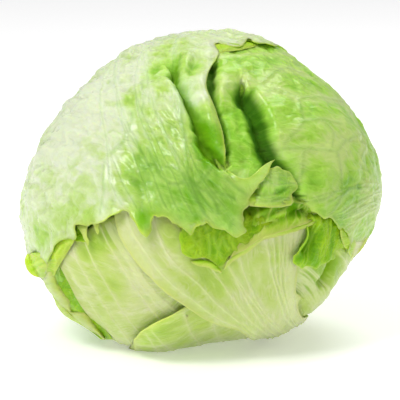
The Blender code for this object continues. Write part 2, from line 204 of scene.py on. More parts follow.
STEM_AXIS = direction(STEM_CLOCK, STEM_TILT)


def rim_radius(clock):
    """Half-width of the head at a clock angle in radians, on a smooth closed curve through RIM_RADII."""
    turn = (clock / (2 * math.pi) % 1) * len(RIM_RADII)
    first = np.floor(turn).astype(int)
    around = (np.array(RIM_RADII)[(first + k) % len(RIM_RADII)] for k in (-1, 0, 1, 2))
    return spline(*around, turn - first)


def lumps(unit):
    """Slow swellings of the whole head, which all its layers share."""
    pace = 2 * FRONT_DEPTH / LUMP_LENGTH
    waves = sum(np.sin(pace * unit @ np.array(wave[:3]) + wave[3]) for wave in LUMP_WAVES)
    return LUMP_HEIGHT * waves / WAVES_PEAK


def envelope(unit):
    """The outermost surface of the head towards each unit vector, and its outward normal."""
    around = rim_radius(np.arctan2(unit[:, 1], unit[:, 0]))
    depth = np.where(unit[:, 2] > 0, FRONT_DEPTH, BACK_DEPTH)
    sizes = np.stack([around, around, depth], axis=1)
    normal = unit_rows(unit / sizes)
    return unit * sizes + lumps(unit)[:, None] * normal, normal


STEM_REACH = float(envelope(STEM_AXIS[None])[0][0] @ STEM_AXIS)


def fold_depth(points, folds):
    """How deep the folds press the surface in at each point."""
    depth = np.zeros(len(points))
    for fold in folds:
        path = curve_through(fold["path"], np.linspace(0, 1, FOLD_STEPS))
        along = unit_rows(np.gradient(path, axis=0))
        away = points[:, None, :2] - path[None]
        near = np.argmin((away**2).sum(axis=2), axis=1)
        away = away[np.arange(len(points)), near]
        leftwards = along[near, 0] * away[:, 1] - along[near, 1] * away[:, 0]
        width = np.where(leftwards > 0, fold["left"], fold["right"])
        depth += fold["depth"] * np.exp(-((np.linalg.norm(away, axis=1) / width) ** 2))
    return depth * eased(points[:, 2] / FOLD_FADE)


def to_world(points, level):
    """Turns (across, up, forward) points to the object's frame, laid on the floor."""
    across, up, forward = points.T
    height = CENTRE[2] + up * math.cos(FACE_LEAN) + forward * math.sin(FACE_LEAN)
    height = np.maximum(height, np.maximum(level - FLOOR_GIVE, 0))
    depth = CENTRE[1] + up * math.sin(FACE_LEAN) - forward * math.cos(FACE_LEAN)
    return np.stack([CENTRE[0] + across, depth, height], axis=1)


def place(unit, level, folds=()):
    """Points of a layer at a level under the outermost surface, and how deep its folds are there."""
    points, normal = envelope(unit)
    depth = fold_depth(points, folds)
    return to_world(points - (level + depth)[:, None] * normal, level), depth


def seen(*pixels):
    """The places (clock, tilt) on the head's surface that show at pixels of the picture."""
    across, up = (np.array(pixels, float) - PICTURE_MIDDLE).T * PIXEL * np.array([[1], [-1]])
    clock = np.arctan2(up, across)
    reach = np.hypot(across, up) / rim_radius(clock)
    tilt = np.arcsin(np.clip(reach, 0, 1))
    for _ in range(SEEN_ROUNDS):
        tilt = np.arcsin(np.clip(reach * (1 - FRONT_DEPTH * np.cos(tilt) / CAMERA_DISTANCE), 0, 1))
    return tuple(zip(np.degrees(clock), np.degrees(tilt)))


def fold(depth, left, right, *pixels):
    """A fold pressed into a leaf along a line of the picture: its depth, and its widths to the left and the
    right, going along it. A negative depth is a ridge."""
    unit = direction(*np.array(seen(*pixels)).T)
    return dict(path=envelope(unit)[0][:, :2], depth=depth, left=left, right=right)


# Folds: depth, width to the left and to the right, and the line in the picture
LEFT_FOLDS = (
    fold(6.6, 5.0, 1.5, (170, 76), (184, 100), (196, 129), (206, 150), (220, 166)),
    fold(-1.6, 3.0, 2.6, (200, 80), (207, 106), (215, 136), (219, 153)),
    fold(2.6, 4.5, 4.5, (153, 72), (160, 66)), fold(2.4, 3.0, 3.5, (176, 52), (175, 72)),
    fold(2.2, 2.6, 2.6, (196, 58), (190, 72)), fold(-1.4, 2.6, 2.6, (205, 47), (186, 60), (181, 78)),
    fold(1.4, 4.0, 4.0, (132, 104), (136, 115)), fold(2.0, 8.0, 8.0, (145, 157), (158, 182), (170, 195)),
    fold(2.4, 3.2, 3.2, (42, 238), (40, 248), (33, 256)),
    fold(-1.2, 8.0, 8.0, (96, 80), (84, 120), (72, 160)), fold(0.8, 2.4, 2.4, (140, 208), (146, 228)),
)
RIGHT_FOLDS = (
    fold(11.0, 2.0, 7.0, (253, 90), (262, 106), (268, 122), (273, 140), (280, 157), (289, 172), (298, 186)),
    fold(2.2, 5.0, 5.0, (226, 112), (231, 136), (233, 160), (234, 178)),
    fold(1.2, 1.6, 1.6, (238, 104), (242, 132), (245, 168)),
    fold(-1.3, 2.6, 2.0, (221, 86), (219, 104), (225, 132), (229, 162)),
    fold(5.5, 2.0, 8.0, (214, 62), (212, 80), (213, 96), (218, 112), (223, 130), (227, 150)),
    fold(-1.4, 7.0, 7.0, (285, 106), (315, 132), (329, 157), (330, 191), (323, 216)),
    fold(1.6, 7.0, 7.0, (293, 149), (306, 174)), fold(1.3, 5.0, 5.0, (262, 82), (285, 92), (305, 112)),
    fold(-0.8, 3.0, 3.0, (322, 222), (334, 236), (342, 250)),
)
FRONT_FOLDS = (fold(1.2, 8.0, 8.0, (213, 289), (242, 291), (272, 276)),)
FLAP_FOLDS = (
    fold(2.8, 2.0, 1.8, (317, 226), (319, 236), (316, 246), (309, 255)),
    fold(-0.9, 2.0, 2.0, (323, 220), (326, 232), (326, 242)),
)
SLIT_FOLDS = (fold(4.0, 1.0, 1.8, (347, 260), (343, 268), (336, 282), (330, 290)),)
CURL_FOLDS = (fold(1.1, 1.8, 0.9, (252, 194), (262, 196), (272, 195), (280, 193), (288, 189)),)
BAND_FOLDS = (
    fold(1.6, 1.6, 1.6, (254, 235), (268, 227), (288, 219), (310, 212)),
    fold(1.2, 1.6, 1.6, (262, 222), (278, 214), (300, 205)),
    fold(2.4, 3.0, 2.4, (292, 208), (308, 212), (317, 217)),
    fold(-0.7, 1.8, 1.8, (272, 218), (288, 212), (298, 204)),
)
CREVICE_FOLDS = (fold(1.8, 1.4, 2.2, (60, 270), (67, 284), (74, 297), (82, 308)),)
HEART_FOLDS = (
    fold(15.0, 14.0, 14.0, (211, 76), (228, 92), (252, 98), (264, 122), (274, 146), (286, 168), (297, 184)),
)


def heart_level(unit):
    """Depth of the heart's own surface under the outermost one."""
    points, _ = envelope(unit)
    return HEART_LEVEL + fold_depth(points, HEART_FOLDS)


class Wrap:
    """A flat map of the head: degrees along a great circle from its start, and degrees to its side."""

    unit_length = DEGREE

    def __init__(self, start, towards):
        self.start = start
        self.side = np.cross(towards, start)
        self.side /= np.linalg.norm(self.side)
        self.ahead = np.cross(start, self.side)

    def flat(self, places):
        unit = direction(*np.array(places, float).T)
        along = np.degrees(np.arctan2(unit @ self.ahead, unit @ self.start))
        return np.stack([(along + 90) % 360 - 90, np.degrees(np.arcsin(unit @ self.side))], axis=1)

    def at_pixels(self, pixels):
        return self.flat(seen(*pixels))

    def unit(self, flat):
        along, side = np.radians(flat[..., 0]), np.radians(flat[..., 1])
        middle = np.cos(along)[..., None] * self.start + np.sin(along)[..., None] * self.ahead
        return np.cos(side)[..., None] * middle + np.sin(side)[..., None] * self.side

    def spread(self, flat):
        """Points in mm that are as far apart as on the head."""
        return self.unit(flat) * HEAD_RADIUS


class PictureWrap:
    """A flat map that is the picture itself, in pixels."""

    unit_length = PIXEL

    def at_pixels(self, pixels):
        return np.array(pixels, float)

    def spread(self, flat):
        return np.concatenate([flat * PIXEL, np.zeros((*flat.shape[:-1], 1))], axis=-1)


FACE = Wrap(direction(0, 0), direction(90, 90))
PICTURE = PictureWrap()

# Leaves

# Wrapper leaves run from the stem over the rim at their heading to their tip edge. Levels are depths under
# the outermost surface, at even steps from the left side to the right side, at the base and at the tip; the
# change from one to the other starts at the share `turn` of the length. In every kind of leaf, a tint (x, y,
# size, green) makes it greener or paler round a pixel of the picture, a swell (x, y, size, height) raises it
# there, a roll (x, y, half width, reach, angle) turns its tip edge inwards there, and lines are veins that
# show in the picture.
WRAPPER_LEAVES = {
    "leaf_left": dict(
        heading=145, base_spread=(45, 74), rib=1.8, base_levels=(0.0, 0.0), tip_levels=(0.0, 0.0),
        left=((-125, 136), (-145, 116), (-155, 99)),
        tip=(
            (-158.6, 90),
            *seen(
                (33, 258), (40, 258), (45, 260), (48, 263), (50, 256), (53, 249), (60, 242), (68, 239),
                (73, 240), (77, 238), (77, 231), (76, 226), (82, 225), (88, 227), (92, 224), (98, 224),
                (105, 222), (110, 220), (113, 217), (118, 215), (122, 211), (127, 212), (131, 217),
                (136, 222), (139, 228), (142, 233), (148, 238), (151, 231), (151, 224), (155, 216),
                (159, 218), (163, 217), (168, 219), (172, 223), (178, 226), (187, 232), (191, 236),
                (194, 231), (197, 226), (202, 226), (208, 223), (211, 227), (220, 230), (226, 230),
                (230, 234), (235, 238), (240, 236), (246, 231), (243, 226), (242, 220), (242, 212),
                (249, 205), (248, 200), (253, 193), (261, 180), (266, 174), (268, 167), (275, 160),
            ),
        ),
        right=(
            (-4, 152), (30, 134), (50, 114), (58, 98), (62, 86),
            *seen(
                (275, 48), (266, 45), (260, 45), (253, 43), (248, 40), (245, 43), (241, 46), (233, 46),
                (225, 44), (215, 43), (219, 51), (217, 57), (212, 65), (208, 74), (206, 84), (206, 90),
                (209, 98), (212, 104), (215, 110), (218, 119), (222, 130), (224, 140), (226, 153), (227, 167),
                (233, 174), (240, 179), (247, 179), (253, 175), (260, 168), (268, 163),
            ),
        ),
        folds=LEFT_FOLDS, row_bend=(0.34, 0.55), grid=(270, 276), column_bend=(0.45, 0.45), teeth=(7.0, 0.5),
        ruffle=(15.0, 1.0, 6.0),
        rolls=((142, 230, 6.0, 3.0, 70), (205, 226, 7.0, 2.5, 60), (110, 219, 5.0, 2.5, 70)),
        swells=((262, 172, 9.0, 3.0), (45, 256, 4.0, 0.8), (60, 238, 5.0, 0.8)),
        # The small greener spots in the crown hollow at (175, 62) and (195, 67) and in the folds at (153,
        # 68), (132, 98), (145, 165) and (36, 238) are painted shade; the broad paler patch on the lit left
        # side at (80, 120) and the pale spot on the ridge at (200, 100) are painted highlights
        tints=(
            (188, 204, 24, 0.56), (230, 192, 20, 0.32), (125, 110, 22, 0.18), (160, 135, 13, 0.22),
            (212, 140, 13, 0.55), (205, 112, 7, 0.35), (180, 60, 11, 0.25), (170, 47, 14, 0.2),
            (195, 67, 4, 0.4), (175, 62, 4, 0.3), (153, 68, 4, 0.45), (132, 98, 5, 0.35), (145, 165, 11, 0.4),
            (36, 238, 6, 0.4), (80, 120, 24, -0.4), (150, 105, 12, 0.12), (143, 222, 6, 0.55),
            (90, 219, 4, 0.4), (200, 100, 4, -0.5), (60, 225, 12, 0.15),
        ),
        lines=(
            ((174, 87), (179, 105), (182, 125), (185, 145), (187, 162), (188, 175)),
            ((188, 176), (180, 184), (168, 184), (160, 177), (153, 165)),
            ((146, 147), (152, 160), (160, 175)), ((110, 155), (130, 132), (132, 112)),
            ((142, 82), (146, 95), (144, 110)), ((188, 177), (196, 186), (208, 192), (224, 195), (236, 200)),
            ((188, 177), (197, 198), (203, 212), (209, 219)), ((208, 192), (216, 205), (218, 214)),
            ((186, 176), (174, 168), (164, 166)), ((105, 160), (104, 190), (102, 215)),
            ((225, 178), (238, 190), (250, 198)), ((196, 186), (205, 178), (212, 168)),
        ),
        veins=2, finish="pale",
    ),
    "leaf_right": dict(
        heading=5, base_spread=(74, 24), rib=1.6, base_levels=(1.8, 1.4, 0.6, 0.5),
        tip_levels=(1.7, 1.6, 1.1, 0.7, 0.9), left=((14, 150), (52, 129), (72, 108), (80, 90)),
        tip=(
            (84, 76), (87, 68),
            *seen(
                (204, 52), (203, 60), (200, 70), (198, 82), (198, 92), (201, 102), (206, 112), (210, 124),
                (213, 137), (216, 151), (221, 168), (232, 184), (252, 189), (274, 191), (292, 194),
                (302, 202), (311, 209), (317, 215), (322, 218), (328, 218), (334, 221), (338, 226),
                (341, 229), (344, 228), (347, 232), (351, 238), (352, 247), (349, 255), (353, 250),
                (357, 244), (366, 243),
            ),
        ),
        right=((-33, 122), (-26, 102), (-19, 87)), folds=RIGHT_FOLDS, row_bend=(0.25, 0.5), grid=(264, 270),
        teeth=(7.0, 0.8), ruffle=(15.0, 0.7, 5.0),
        tints=(
            (230, 130, 10, 0.05), (335, 150, 9, -0.4), (356, 165, 9, -0.2), (342, 202, 15, 0.35),
            (285, 70, 14, 0.12), (292, 95, 6, -0.2), (229, 75, 6, -0.2), (337, 222, 4, 0.4),
            (359, 188, 2.5, 0.5), (343, 188, 3, 0.35), (300, 135, 8, 0.15), (308, 118, 9, 0.3),
        ),
        lines=(
            ((276, 145), (290, 147), (307, 147), (320, 150), (335, 152)),
            ((335, 152), (345, 141), (361, 135)),
            ((262, 97), (272, 87), (292, 90), (300, 97), (330, 95), (350, 102)),
            ((220, 86), (240, 76), (262, 80), (276, 90)), ((300, 97), (303, 122), (291, 137), (286, 146)),
            ((307, 148), (306, 170), (302, 184)), ((336, 153), (340, 175), (341, 196)),
            ((314, 202), (326, 198), (337, 188)), ((322, 120), (332, 132), (331, 148)),
            ((341, 196), (352, 189), (368, 188)), ((262, 80), (285, 66), (310, 72)),
            ((341, 196), (336, 205), (330, 214)), ((350, 102), (366, 140), (360, 160)),
            ((303, 122), (322, 120), (342, 124)),
        ),
        veins=2, finish="green",
    ),
    "leaf_front": dict(
        heading=-62, base_spread=(14, 14), rib=1.2, turn=0.35, base_levels=(0.4, 0.4, 0.5),
        tip_levels=(3.4, 5.0, 5.2, 5.4, 5.4),
        left=(
            (-66, 95), (-70, 81), (-74, 65), (-82, 58), (-90, 51), (-103, 40), (-119, 33), (-132, 31),
            (-149, 29),
        ),
        tip=(
            (-165, 28), (-170, 22), (-160, 16), (-130, 13),
            *seen((186, 230), (208, 240), (230, 244), (250, 238), (268, 230), (290, 225), (318, 228)),
        ),
        right=(
            (-49, 94),
            *seen(
                (303, 318), (300, 309), (304, 301), (300, 297), (302, 285), (304, 271), (310, 258),
                (318, 242),
            ),
        ),
        folds=FRONT_FOLDS, row_bend=(0.3, 0.45), grid=(228, 234), teeth=(12.0, 0.3), ruffle=(21.0, 0.3, 6.0),
        # The tint at (205, 285) greens the shallow trough as painted shade
        tints=(
            (130, 240, 12, -0.2), (205, 285, 16, 0.3), (275, 250, 10, 0.15), (285, 262, 6, 0.2),
            (170, 235, 8, 0.3), (245, 325, 14, 0.15),
        ),
        veins=9, finish="cream", fan=(262, 352),
    ),
    "leaf_lower_right": dict(
        heading=-36, base_spread=(20, 20), rib=0.8, turn=0.72, base_levels=(1.6, 1.6, 0.8, 1.4, 1.8),
        tip_levels=(1.8, 4.2, 5.8, 6.6, 7.2), left=((-18, 112), (-9, 92)),
        tip=((-7, 72), (-16, 54), (-25, 48), (-36, 47), (-46, 54), (-55, 66)),
        right=((-62, 112), (-60, 92), (-57, 80)), folds=SLIT_FOLDS, grid=(150, 120), teeth=(9.0, 0.8),
        # These tints green the lower right, which lies in shadow and faces away from the lights: painted
        # shade
        ruffle=(13.0, 0.4, 6.0), tints=((312, 294, 9, 0.9), (340, 272, 18, 0.7), (328, 273, 3, 0.9)), veins=6,
        finish="cream",
    ),
    "leaf_bottom": dict(
        heading=-90, base_spread=(16, 16), rib=1.2, turn=0.4, base_levels=(0.3, 0.3, 0.3, 0.5, 3.2),
        tip_levels=(1.6, 1.8, 4.8, 5.2, 5.4), left=((-99, 118), (-108, 100), (-112, 82)),
        tip=((-114, 66), (-112, 56), (-108, 51), (-100, 47), (-92, 46), (-83, 47), (-75, 53), (-66, 63)),
        right=((-63, 112), (-62, 92), (-63, 76)), row_bend=(0.4, 0.4), grid=(168, 150), teeth=(12.0, 0.4),
        # The tint at (160, 338) greens the shadowed hollow by the floor as painted shade
        ruffle=(17.0, 0.4, 7.0), tints=((160, 338, 8, 0.5), (200, 332, 12, 0.2)), veins=6, finish="cream",
        fan=(290, 300),
    ),
    "leaf_lower_left": dict(
        heading=-112, base_spread=(20, 20), rib=1.0, turn=0.2, base_levels=(3.0, 4.5, 6.0),
        tip_levels=(2.7, 3.2, 5.0, 7.0),
        left=(
            (-124, 122), (-121, 104),
            *seen((103, 342), (94, 332), (86, 322), (78, 312), (72, 303), (66, 292), (60, 280)),
        ),
        tip=(*seen((54, 268)), (-158, 52), (-160, 42), (-163, 34), (-163, 25)),
        right=((-88, 112), (-83, 88), (-80, 66), (-86, 52), (-100, 38), (-127, 27)), row_bend=(0.35, 0.35),
        grid=(210, 168), teeth=(12.0, 0.3), ruffle=(19.0, 0.3, 6.0),
        tints=((85, 248, 7, 0.6), (105, 235, 7, 0.6), (108, 292, 6, 0.35), (125, 300, 12, -0.15)), veins=7,
        finish="cream", fan=(215, 285),
    ),
    "leaf_far_left": dict(
        heading=-150, base_spread=(24, 20), rib=0.5, turn=0.3, base_levels=(2.0, 2.6, 5.2, 5.8),
        tip_levels=(0.8, 1.8, 5.0, 5.8),
        left=(
            (-166, 130), (-170, 112), (-170, 101), (-168, 95), (-165, 89), (-158, 82), (-154, 76), (-153, 70),
        ),
        tip=((-155, 64), (-155, 56), (-150, 50)),
        right=((-118, 120), (-112, 98), (-112, 82), (-123, 70), (-136, 60)), folds=CREVICE_FOLDS,
        row_bend=(0.4, 0.4), grid=(156, 120), teeth=(9.0, 0.4), ruffle=(13.0, 0.4, 5.0),
        # The tint greens the crevice as painted shade
        tints=((70, 295, 12, 0.6),), veins=6, finish="green",
    ),
}

# Leaves of the heart that stand out of it between the wrapper leaves, from the edge rooted in the heart to
# the tip edge, all as they show in the picture. Levels run from root to tip.
HEART_LEAVES = {
    "front_tongue": dict(
        root=((174, 218), (190, 209), (215, 205), (245, 202), (272, 204), (292, 206)), left=((176, 228),),
        tip=(
            (182, 231), (178, 238), (179, 246), (181, 254), (186, 260), (192, 263), (199, 262), (207, 263),
            (214, 267), (221, 272), (226, 267), (231, 260), (238, 257), (246, 252), (256, 246),
        ),
        right=((294, 216), (286, 228), (270, 238)), levels=(8.0, 5.2, 4.0, 3.6, 3.4), grid=(132, 150),
        teeth=(7.0, 0.4), ruffle=(9.0, 0.5, 4.0), tints=((265, 220, 8, -0.15), (190, 250, 6, -0.15)),
        lines=(
            ((199, 225), (200, 240), (201, 258)), ((206, 228), (210, 243), (210, 262)),
            ((224, 238), (221, 248), (217, 263)), ((184, 254), (193, 249), (200, 242)),
            ((200, 262), (195, 256), (187, 252)), ((231, 238), (236, 250), (240, 254)),
            ((214, 240), (218, 250), (223, 262)), ((190, 236), (195, 246), (200, 250)),
            ((258, 208), (264, 216), (268, 224)), ((249, 206), (250, 214), (247, 224)),
            ((240, 236), (244, 242), (247, 246)), ((231, 252), (226, 246), (224, 238)),
        ),
        finish="bright",
    ),
    "rolled_band": dict(
        root=((250, 202), (265, 192), (285, 181), (303, 178), (320, 190)), left=((248, 226), (246, 238)),
        tip=(
            (226, 269), (230, 262), (238, 257), (248, 251), (262, 241), (274, 237), (288, 233), (303, 228),
            (322, 221),
        ),
        right=((326, 208),), levels=(8.0, 4.4, 3.2, 2.8), folds=BAND_FOLDS, grid=(108, 144), teeth=(9.0, 0.2),
        ruffle=(9.0, 0.2, 4.0), tints=((306, 210, 8, 0.7), (280, 214, 9, 0.35)),
        lines=(((250, 236), (268, 224), (282, 222)), ((280, 216), (293, 210), (303, 198))), veins=6,
        finish="hem",
    ),
    "right_flap": dict(
        root=((310, 200), (324, 192), (350, 200)), left=((312, 222), (312, 238), (302, 253)),
        tip=(
            (296, 258), (295, 265), (302, 269), (305, 271), (310, 268), (319, 271), (326, 268), (333, 263),
            (339, 262), (342, 253), (348, 249),
        ),
        right=((350, 222), (351, 236)), levels=(6.0, 3.0, 2.2, 2.0), folds=FLAP_FOLDS, grid=(120, 108),
        # Its first tint greens the flap's fold as painted shade
        teeth=(6.0, 0.4), ruffle=(9.0, 0.8, 5.0), tints=((314, 243, 4.5, 0.6), (328, 245, 6, -0.1)),
        lines=(((331, 222), (332, 240), (326, 260)),), veins=5, finish="bright",
    ),
    "curled_tip": dict(
        root=((238, 205), (240, 192), (249, 179), (260, 168)), left=((258, 206), (274, 206)),
        tip=(
            (290, 205), (293, 202), (291, 198), (294, 194), (298, 191), (299, 186), (296, 179), (291, 173),
            (284, 170),
        ),
        right=((271, 169), (277, 167)), levels=(9.0, 0.2, -1.6, -0.8, 0.8), folds=CURL_FOLDS, grid=(108, 108),
        # Its small tint greens the hollow at the end of the curl's fold as painted shade
        teeth=(6.0, 0.4), ruffle=(9.0, 0.5, 4.0), tints=((283, 189, 3, 0.3), (274, 184, 16, 0.3)),
        lines=(((256, 201), (268, 202), (285, 198)), ((270, 178), (280, 180), (291, 184))), veins=3,
        finish="green",
    ),
}

# Turned-over margins that show their thin inner side, drawn as they show in the picture. Lifts are how far
# they stand off the head's outermost surface towards the viewer, from root to tip, and arch is how much more
# they bulge midway.
TURNED_MARGINS = {
    "left_lobe": dict(
        node="leaf_left", root=((27, 254), (33, 253), (40, 253), (48, 256)), left=((25, 261),),
        tip=((27, 269), (31, 274), (37, 277), (44, 278), (47, 274)), right=((48, 266),),
        lifts=(1.2, 1.8, 2.0, 1.4), arch=0.6, grid=(36, 48), finish="lime",
        lines=(((29, 268), (36, 264), (44, 261)), ((34, 274), (40, 268), (47, 265))),
    ),
    "left_lobe_inner": dict(
        node="leaf_left", root=((47, 260), (48, 253), (52, 245), (59, 238), (68, 235), (75, 235)),
        left=((46, 266), (46, 271)), tip=((48, 275), (54, 277), (57, 270), (62, 262), (68, 252), (72, 246)),
        right=((74, 242),), lifts=(1.4, 1.8, 1.8, 0.8), arch=0.6, grid=(48, 72), finish="lime",
        lines=(
            ((55, 270), (59, 260), (67, 253)), ((58, 262), (57, 254), (62, 246)),
            ((62, 258), (66, 248), (70, 242)),
        ),
    ),
    "left_curl": dict(
        node="leaf_left", root=((74, 221), (81, 220), (89, 221)), left=((78, 228), (82, 234)),
        tip=((84, 239), (88, 246), (89, 241)), right=((87, 231), (87, 236)), lifts=(-0.5, 0.8, 1.2), arch=0.5,
        grid=(36, 36), finish="pale_lime",
    ),
    "left_curl_root": dict(
        node="leaf_left", root=((74, 241), (76, 234), (77, 226)), left=((79, 242),),
        tip=((87, 243), (85, 236), (80, 229)), right=((79, 228),), lifts=(-0.4, -0.8, -1.4), arch=-0.6,
        grid=(24, 36), finish="bright",
    ),
    "left_tooth": dict(
        node="leaf_left", root=((90, 219), (95, 218), (101, 219)), left=((94, 227),),
        tip=((96, 233), (98, 235), (99, 232)), right=((98.5, 227),), lifts=(-0.4, 0.5, 0.4), arch=0.3,
        grid=(24, 24), finish="pale_lime",
    ),
    "crown_hem": dict(
        node="leaf_left", root=((215, 42), (226, 41), (240, 41), (254, 40)), left=((214, 48),),
        tip=((216, 57), (224, 53), (236, 51), (246, 49), (258, 46)), right=((257, 43),),
        lifts=(1.5, 3.0, 1.0), arch=0.2, grid=(24, 48), finish="lime",
    ),
    "right_lap": dict(
        node="leaf_lower_right", root=((355, 243), (361, 241), (368, 237)), left=((354, 250),),
        tip=((352, 258), (359, 253), (366, 243)), right=((367, 240),), lifts=(0.3, 0.3, 0.0), arch=0.1,
        grid=(24, 24), finish="cream",
    ),
    "right_frill": dict(
        node="leaf_right", root=((340, 227), (346, 229), (351, 237), (356, 240)), left=((341, 238),),
        tip=((344, 247), (348, 251), (351, 257), (354, 250)), right=((356, 245),), lifts=(0.4, 1.0, 0.2),
        arch=0.3, grid=(36, 36), finish="lime",
    ),
    "tongue_hem": dict(
        node="heart", root=((191, 262), (200, 260), (208, 261), (215, 264), (222, 272)), left=((191.5, 263),),
        tip=((192, 264), (199, 267), (206, 268), (214, 271), (221, 274)), right=((222, 273),),
        lifts=(-4.0, -2.6, -3.0), arch=0.3, grid=(24, 60), finish="hem",
    ),
    "band_hem": dict(
        node="heart",
        root=((233, 254), (241, 248), (249, 238), (257, 229), (266, 226), (278, 228), (300, 224), (318, 218)),
        left=((228, 261),),
        tip=(
            (224, 271), (231, 264), (240, 258), (250, 252), (262, 242), (275, 238), (290, 234), (305, 229),
            (320, 222),
        ),
        right=((319, 220),), lifts=(-4.4, -2.4, -2.2, -3.4), arch=0.4, grid=(48, 120), finish="hem",
    ),
    "curl_hem": dict(
        node="heart", root=((246, 192), (260, 194), (276, 194), (291, 192)), left=((246, 200),),
        tip=((250, 207), (265, 208), (280, 208), (291, 206)), right=((293, 202),), lifts=(-1.6, 0.6, 0.0),
        arch=0.4, grid=(24, 60), finish="hem", lines=(((254, 203), (268, 203), (282, 200)),),
    ),
    "bottom_hem": dict(
        node="leaf_bottom",
        root=((128, 353), (130, 346), (137, 338), (146, 331), (158, 325), (172, 321), (186, 314)),
        left=((138, 354),), tip=((147, 352), (147, 346), (151, 340), (160, 333), (172, 328), (188, 320)),
        right=((188, 317),), lifts=(-4.2, -1.2, -1.6, -4.4), arch=0.8, grid=(36, 72), finish="cream",
    ),
    "far_left_inner": dict(
        node="leaf_far_left",
        root=((53, 268), (54, 284), (58, 294), (65, 304), (67, 312), (76, 317), (86, 327), (101, 339)),
        left=((59, 266),),
        tip=((65, 266), (71, 279), (77, 290), (83, 300), (89, 309), (97, 319), (105, 330), (112, 340)),
        right=((106, 340),), lifts=(-0.8, -2.4, -4.0), arch=-0.3, grid=(36, 96), finish="bright",
    ),
    "far_left_hem": dict(
        node="leaf_far_left",
        root=(
            (45, 272), (43, 279), (46, 287), (53, 297), (60, 311), (68, 318), (78, 323), (88, 329),
            (104, 340),
        ),
        left=((52, 272),),
        tip=(
            (56, 272), (58, 283), (64, 293), (70, 302), (72, 311), (81, 312), (88, 317), (95, 326),
            (105, 338),
        ),
        right=((105, 339),), lifts=(-0.6, 1.8, 1.2, -2.4), arch=0.6, grid=(48, 120), finish="pale_lime",
    ),
}

# The edges of a leaf, and what its facts are where its table leaves them out
EDGES = ("root", "left", "tip", "right")
PLAIN = dict(
    teeth=(5.0, 0.2), ruffle=(9.0, 0.0, 4.0), folds=(), rolls=(), swells=(), tints=(), lines=(), veins=0,
    turn=0.0, row_bend=(0.5, 0.5), column_bend=(0.5, 0.5),
)


def steps(count, bend):
    """Shares from 0 to 1 that are closer on one side of a bend (share of the steps, share of the way)."""
    return np.interp(np.linspace(0, 1, count + 1), (0, bend[0], 1), (0, bend[1], 1))


def coons(root, left, tip, right, u, v):
    """A grid of points between four edges."""
    at_root = (1 - v) * root[:, :1] + v * root[:, -1:]
    at_tip = (1 - v) * tip[:, :1] + v * tip[:, -1:]
    return (1 - v) * left + v * right + (1 - u) * root + u * tip - ((1 - u) * at_root + u * at_tip)


def between(grid, row, column):
    """A grid read between its points, at numbers of rows and columns."""
    i, j = np.minimum(row.astype(int), len(grid) - 2), np.minimum(column.astype(int), grid.shape[1] - 2)
    s, t = (row - i)[..., None], (column - j)[..., None]
    low = (1 - t) * grid[i, j] + t * grid[i, j + 1]
    high = (1 - t) * grid[i + 1, j] + t * grid[i + 1, j + 1]
    return (1 - s) * low + s * high


def sampled(grid, rows, columns):
    """A grid read at even steps, with another count of rows and columns."""
    row, column = np.linspace(0, len(grid) - 1, rows), np.linspace(0, grid.shape[1] - 1, columns)
    return between(grid, row[:, None], column[None])


def relaxed(grid):
    """A leaf's grid with its border kept and its inside evened out, so that it never folds over."""
    found = None
    for coarseness, rounds in RELAXING:
        sizes = grid.shape[:2]
        rows, columns = (n if coarseness == 1 else max(n // coarseness, FEWEST_POINTS) for n in sizes)
        border = sampled(grid, rows, columns)
        found = border.copy() if found is None else sampled(found, rows, columns)
        found[0], found[-1], found[:, 0], found[:, -1] = border[0], border[-1], border[:, 0], border[:, -1]
        for _ in range(rounds):
            ahead, across = found[2:, 1:-1] - found[:-2, 1:-1], found[1:-1, 2:] - found[1:-1, :-2]
            a, c = (across**2).sum(2, keepdims=True) + 1e-12, (ahead**2).sum(2, keepdims=True) + 1e-12
            b = (across * ahead).sum(2, keepdims=True)
            twist = found[2:, 2:] - found[2:, :-2] - found[:-2, 2:] + found[:-2, :-2]
            lengthwise, sideways = found[2:, 1:-1] + found[:-2, 1:-1], found[1:-1, 2:] + found[1:-1, :-2]
            found[1:-1, 1:-1] = (a * lengthwise + c * sideways - 0.5 * b * twist) / (2 * (a + c))
    return found


def nearest_on(line, points):
    """Distance from each point to a line of points, and the number of the nearest one."""
    tree = KDTree(len(line))
    for number, point in enumerate(line):
        tree.insert(point, number)
    tree.balance()
    found = [tree.find(point)[1:] for point in points.reshape(-1, 3)]
    number, distance = np.array(found).T
    return distance.reshape(points.shape[:-1]), number.astype(int).reshape(points.shape[:-1])


def cusps(rng, length, spacing, height):
    """Uneven pointed teeth along a margin of a length, as a function of the place along it."""
    count = max(int(length / spacing), 1)
    spots = (np.arange(count) + rng.uniform(*TOOTH_PLACES, count)) * length / count
    heights = height * rng.uniform(*TOOTH_HEIGHTS, count)
    widths = spacing * rng.uniform(*TOOTH_WIDTHS, count)

    def at(where):
        ends = eased(np.minimum(where, length - where) / TOOTH_FADE)
        teeth = heights * np.exp(-np.abs(where[..., None] - spots) / widths)
        return ends * (teeth.max(axis=-1) - TOOTH_SETBACK * height)

    return at


def waves(rng, length):
    """A slow uneven wave from -1 to 1 along a margin, as a function of the place along it."""
    parts = [(rng.uniform(*WAVE_PACES) / length, rng.uniform(0, 6.28)) for _ in range(3)]

    def at(where):
        return sum(np.sin(2 * math.pi * pace * where + start) for pace, start in parts) / WAVES_PEAK

    return at


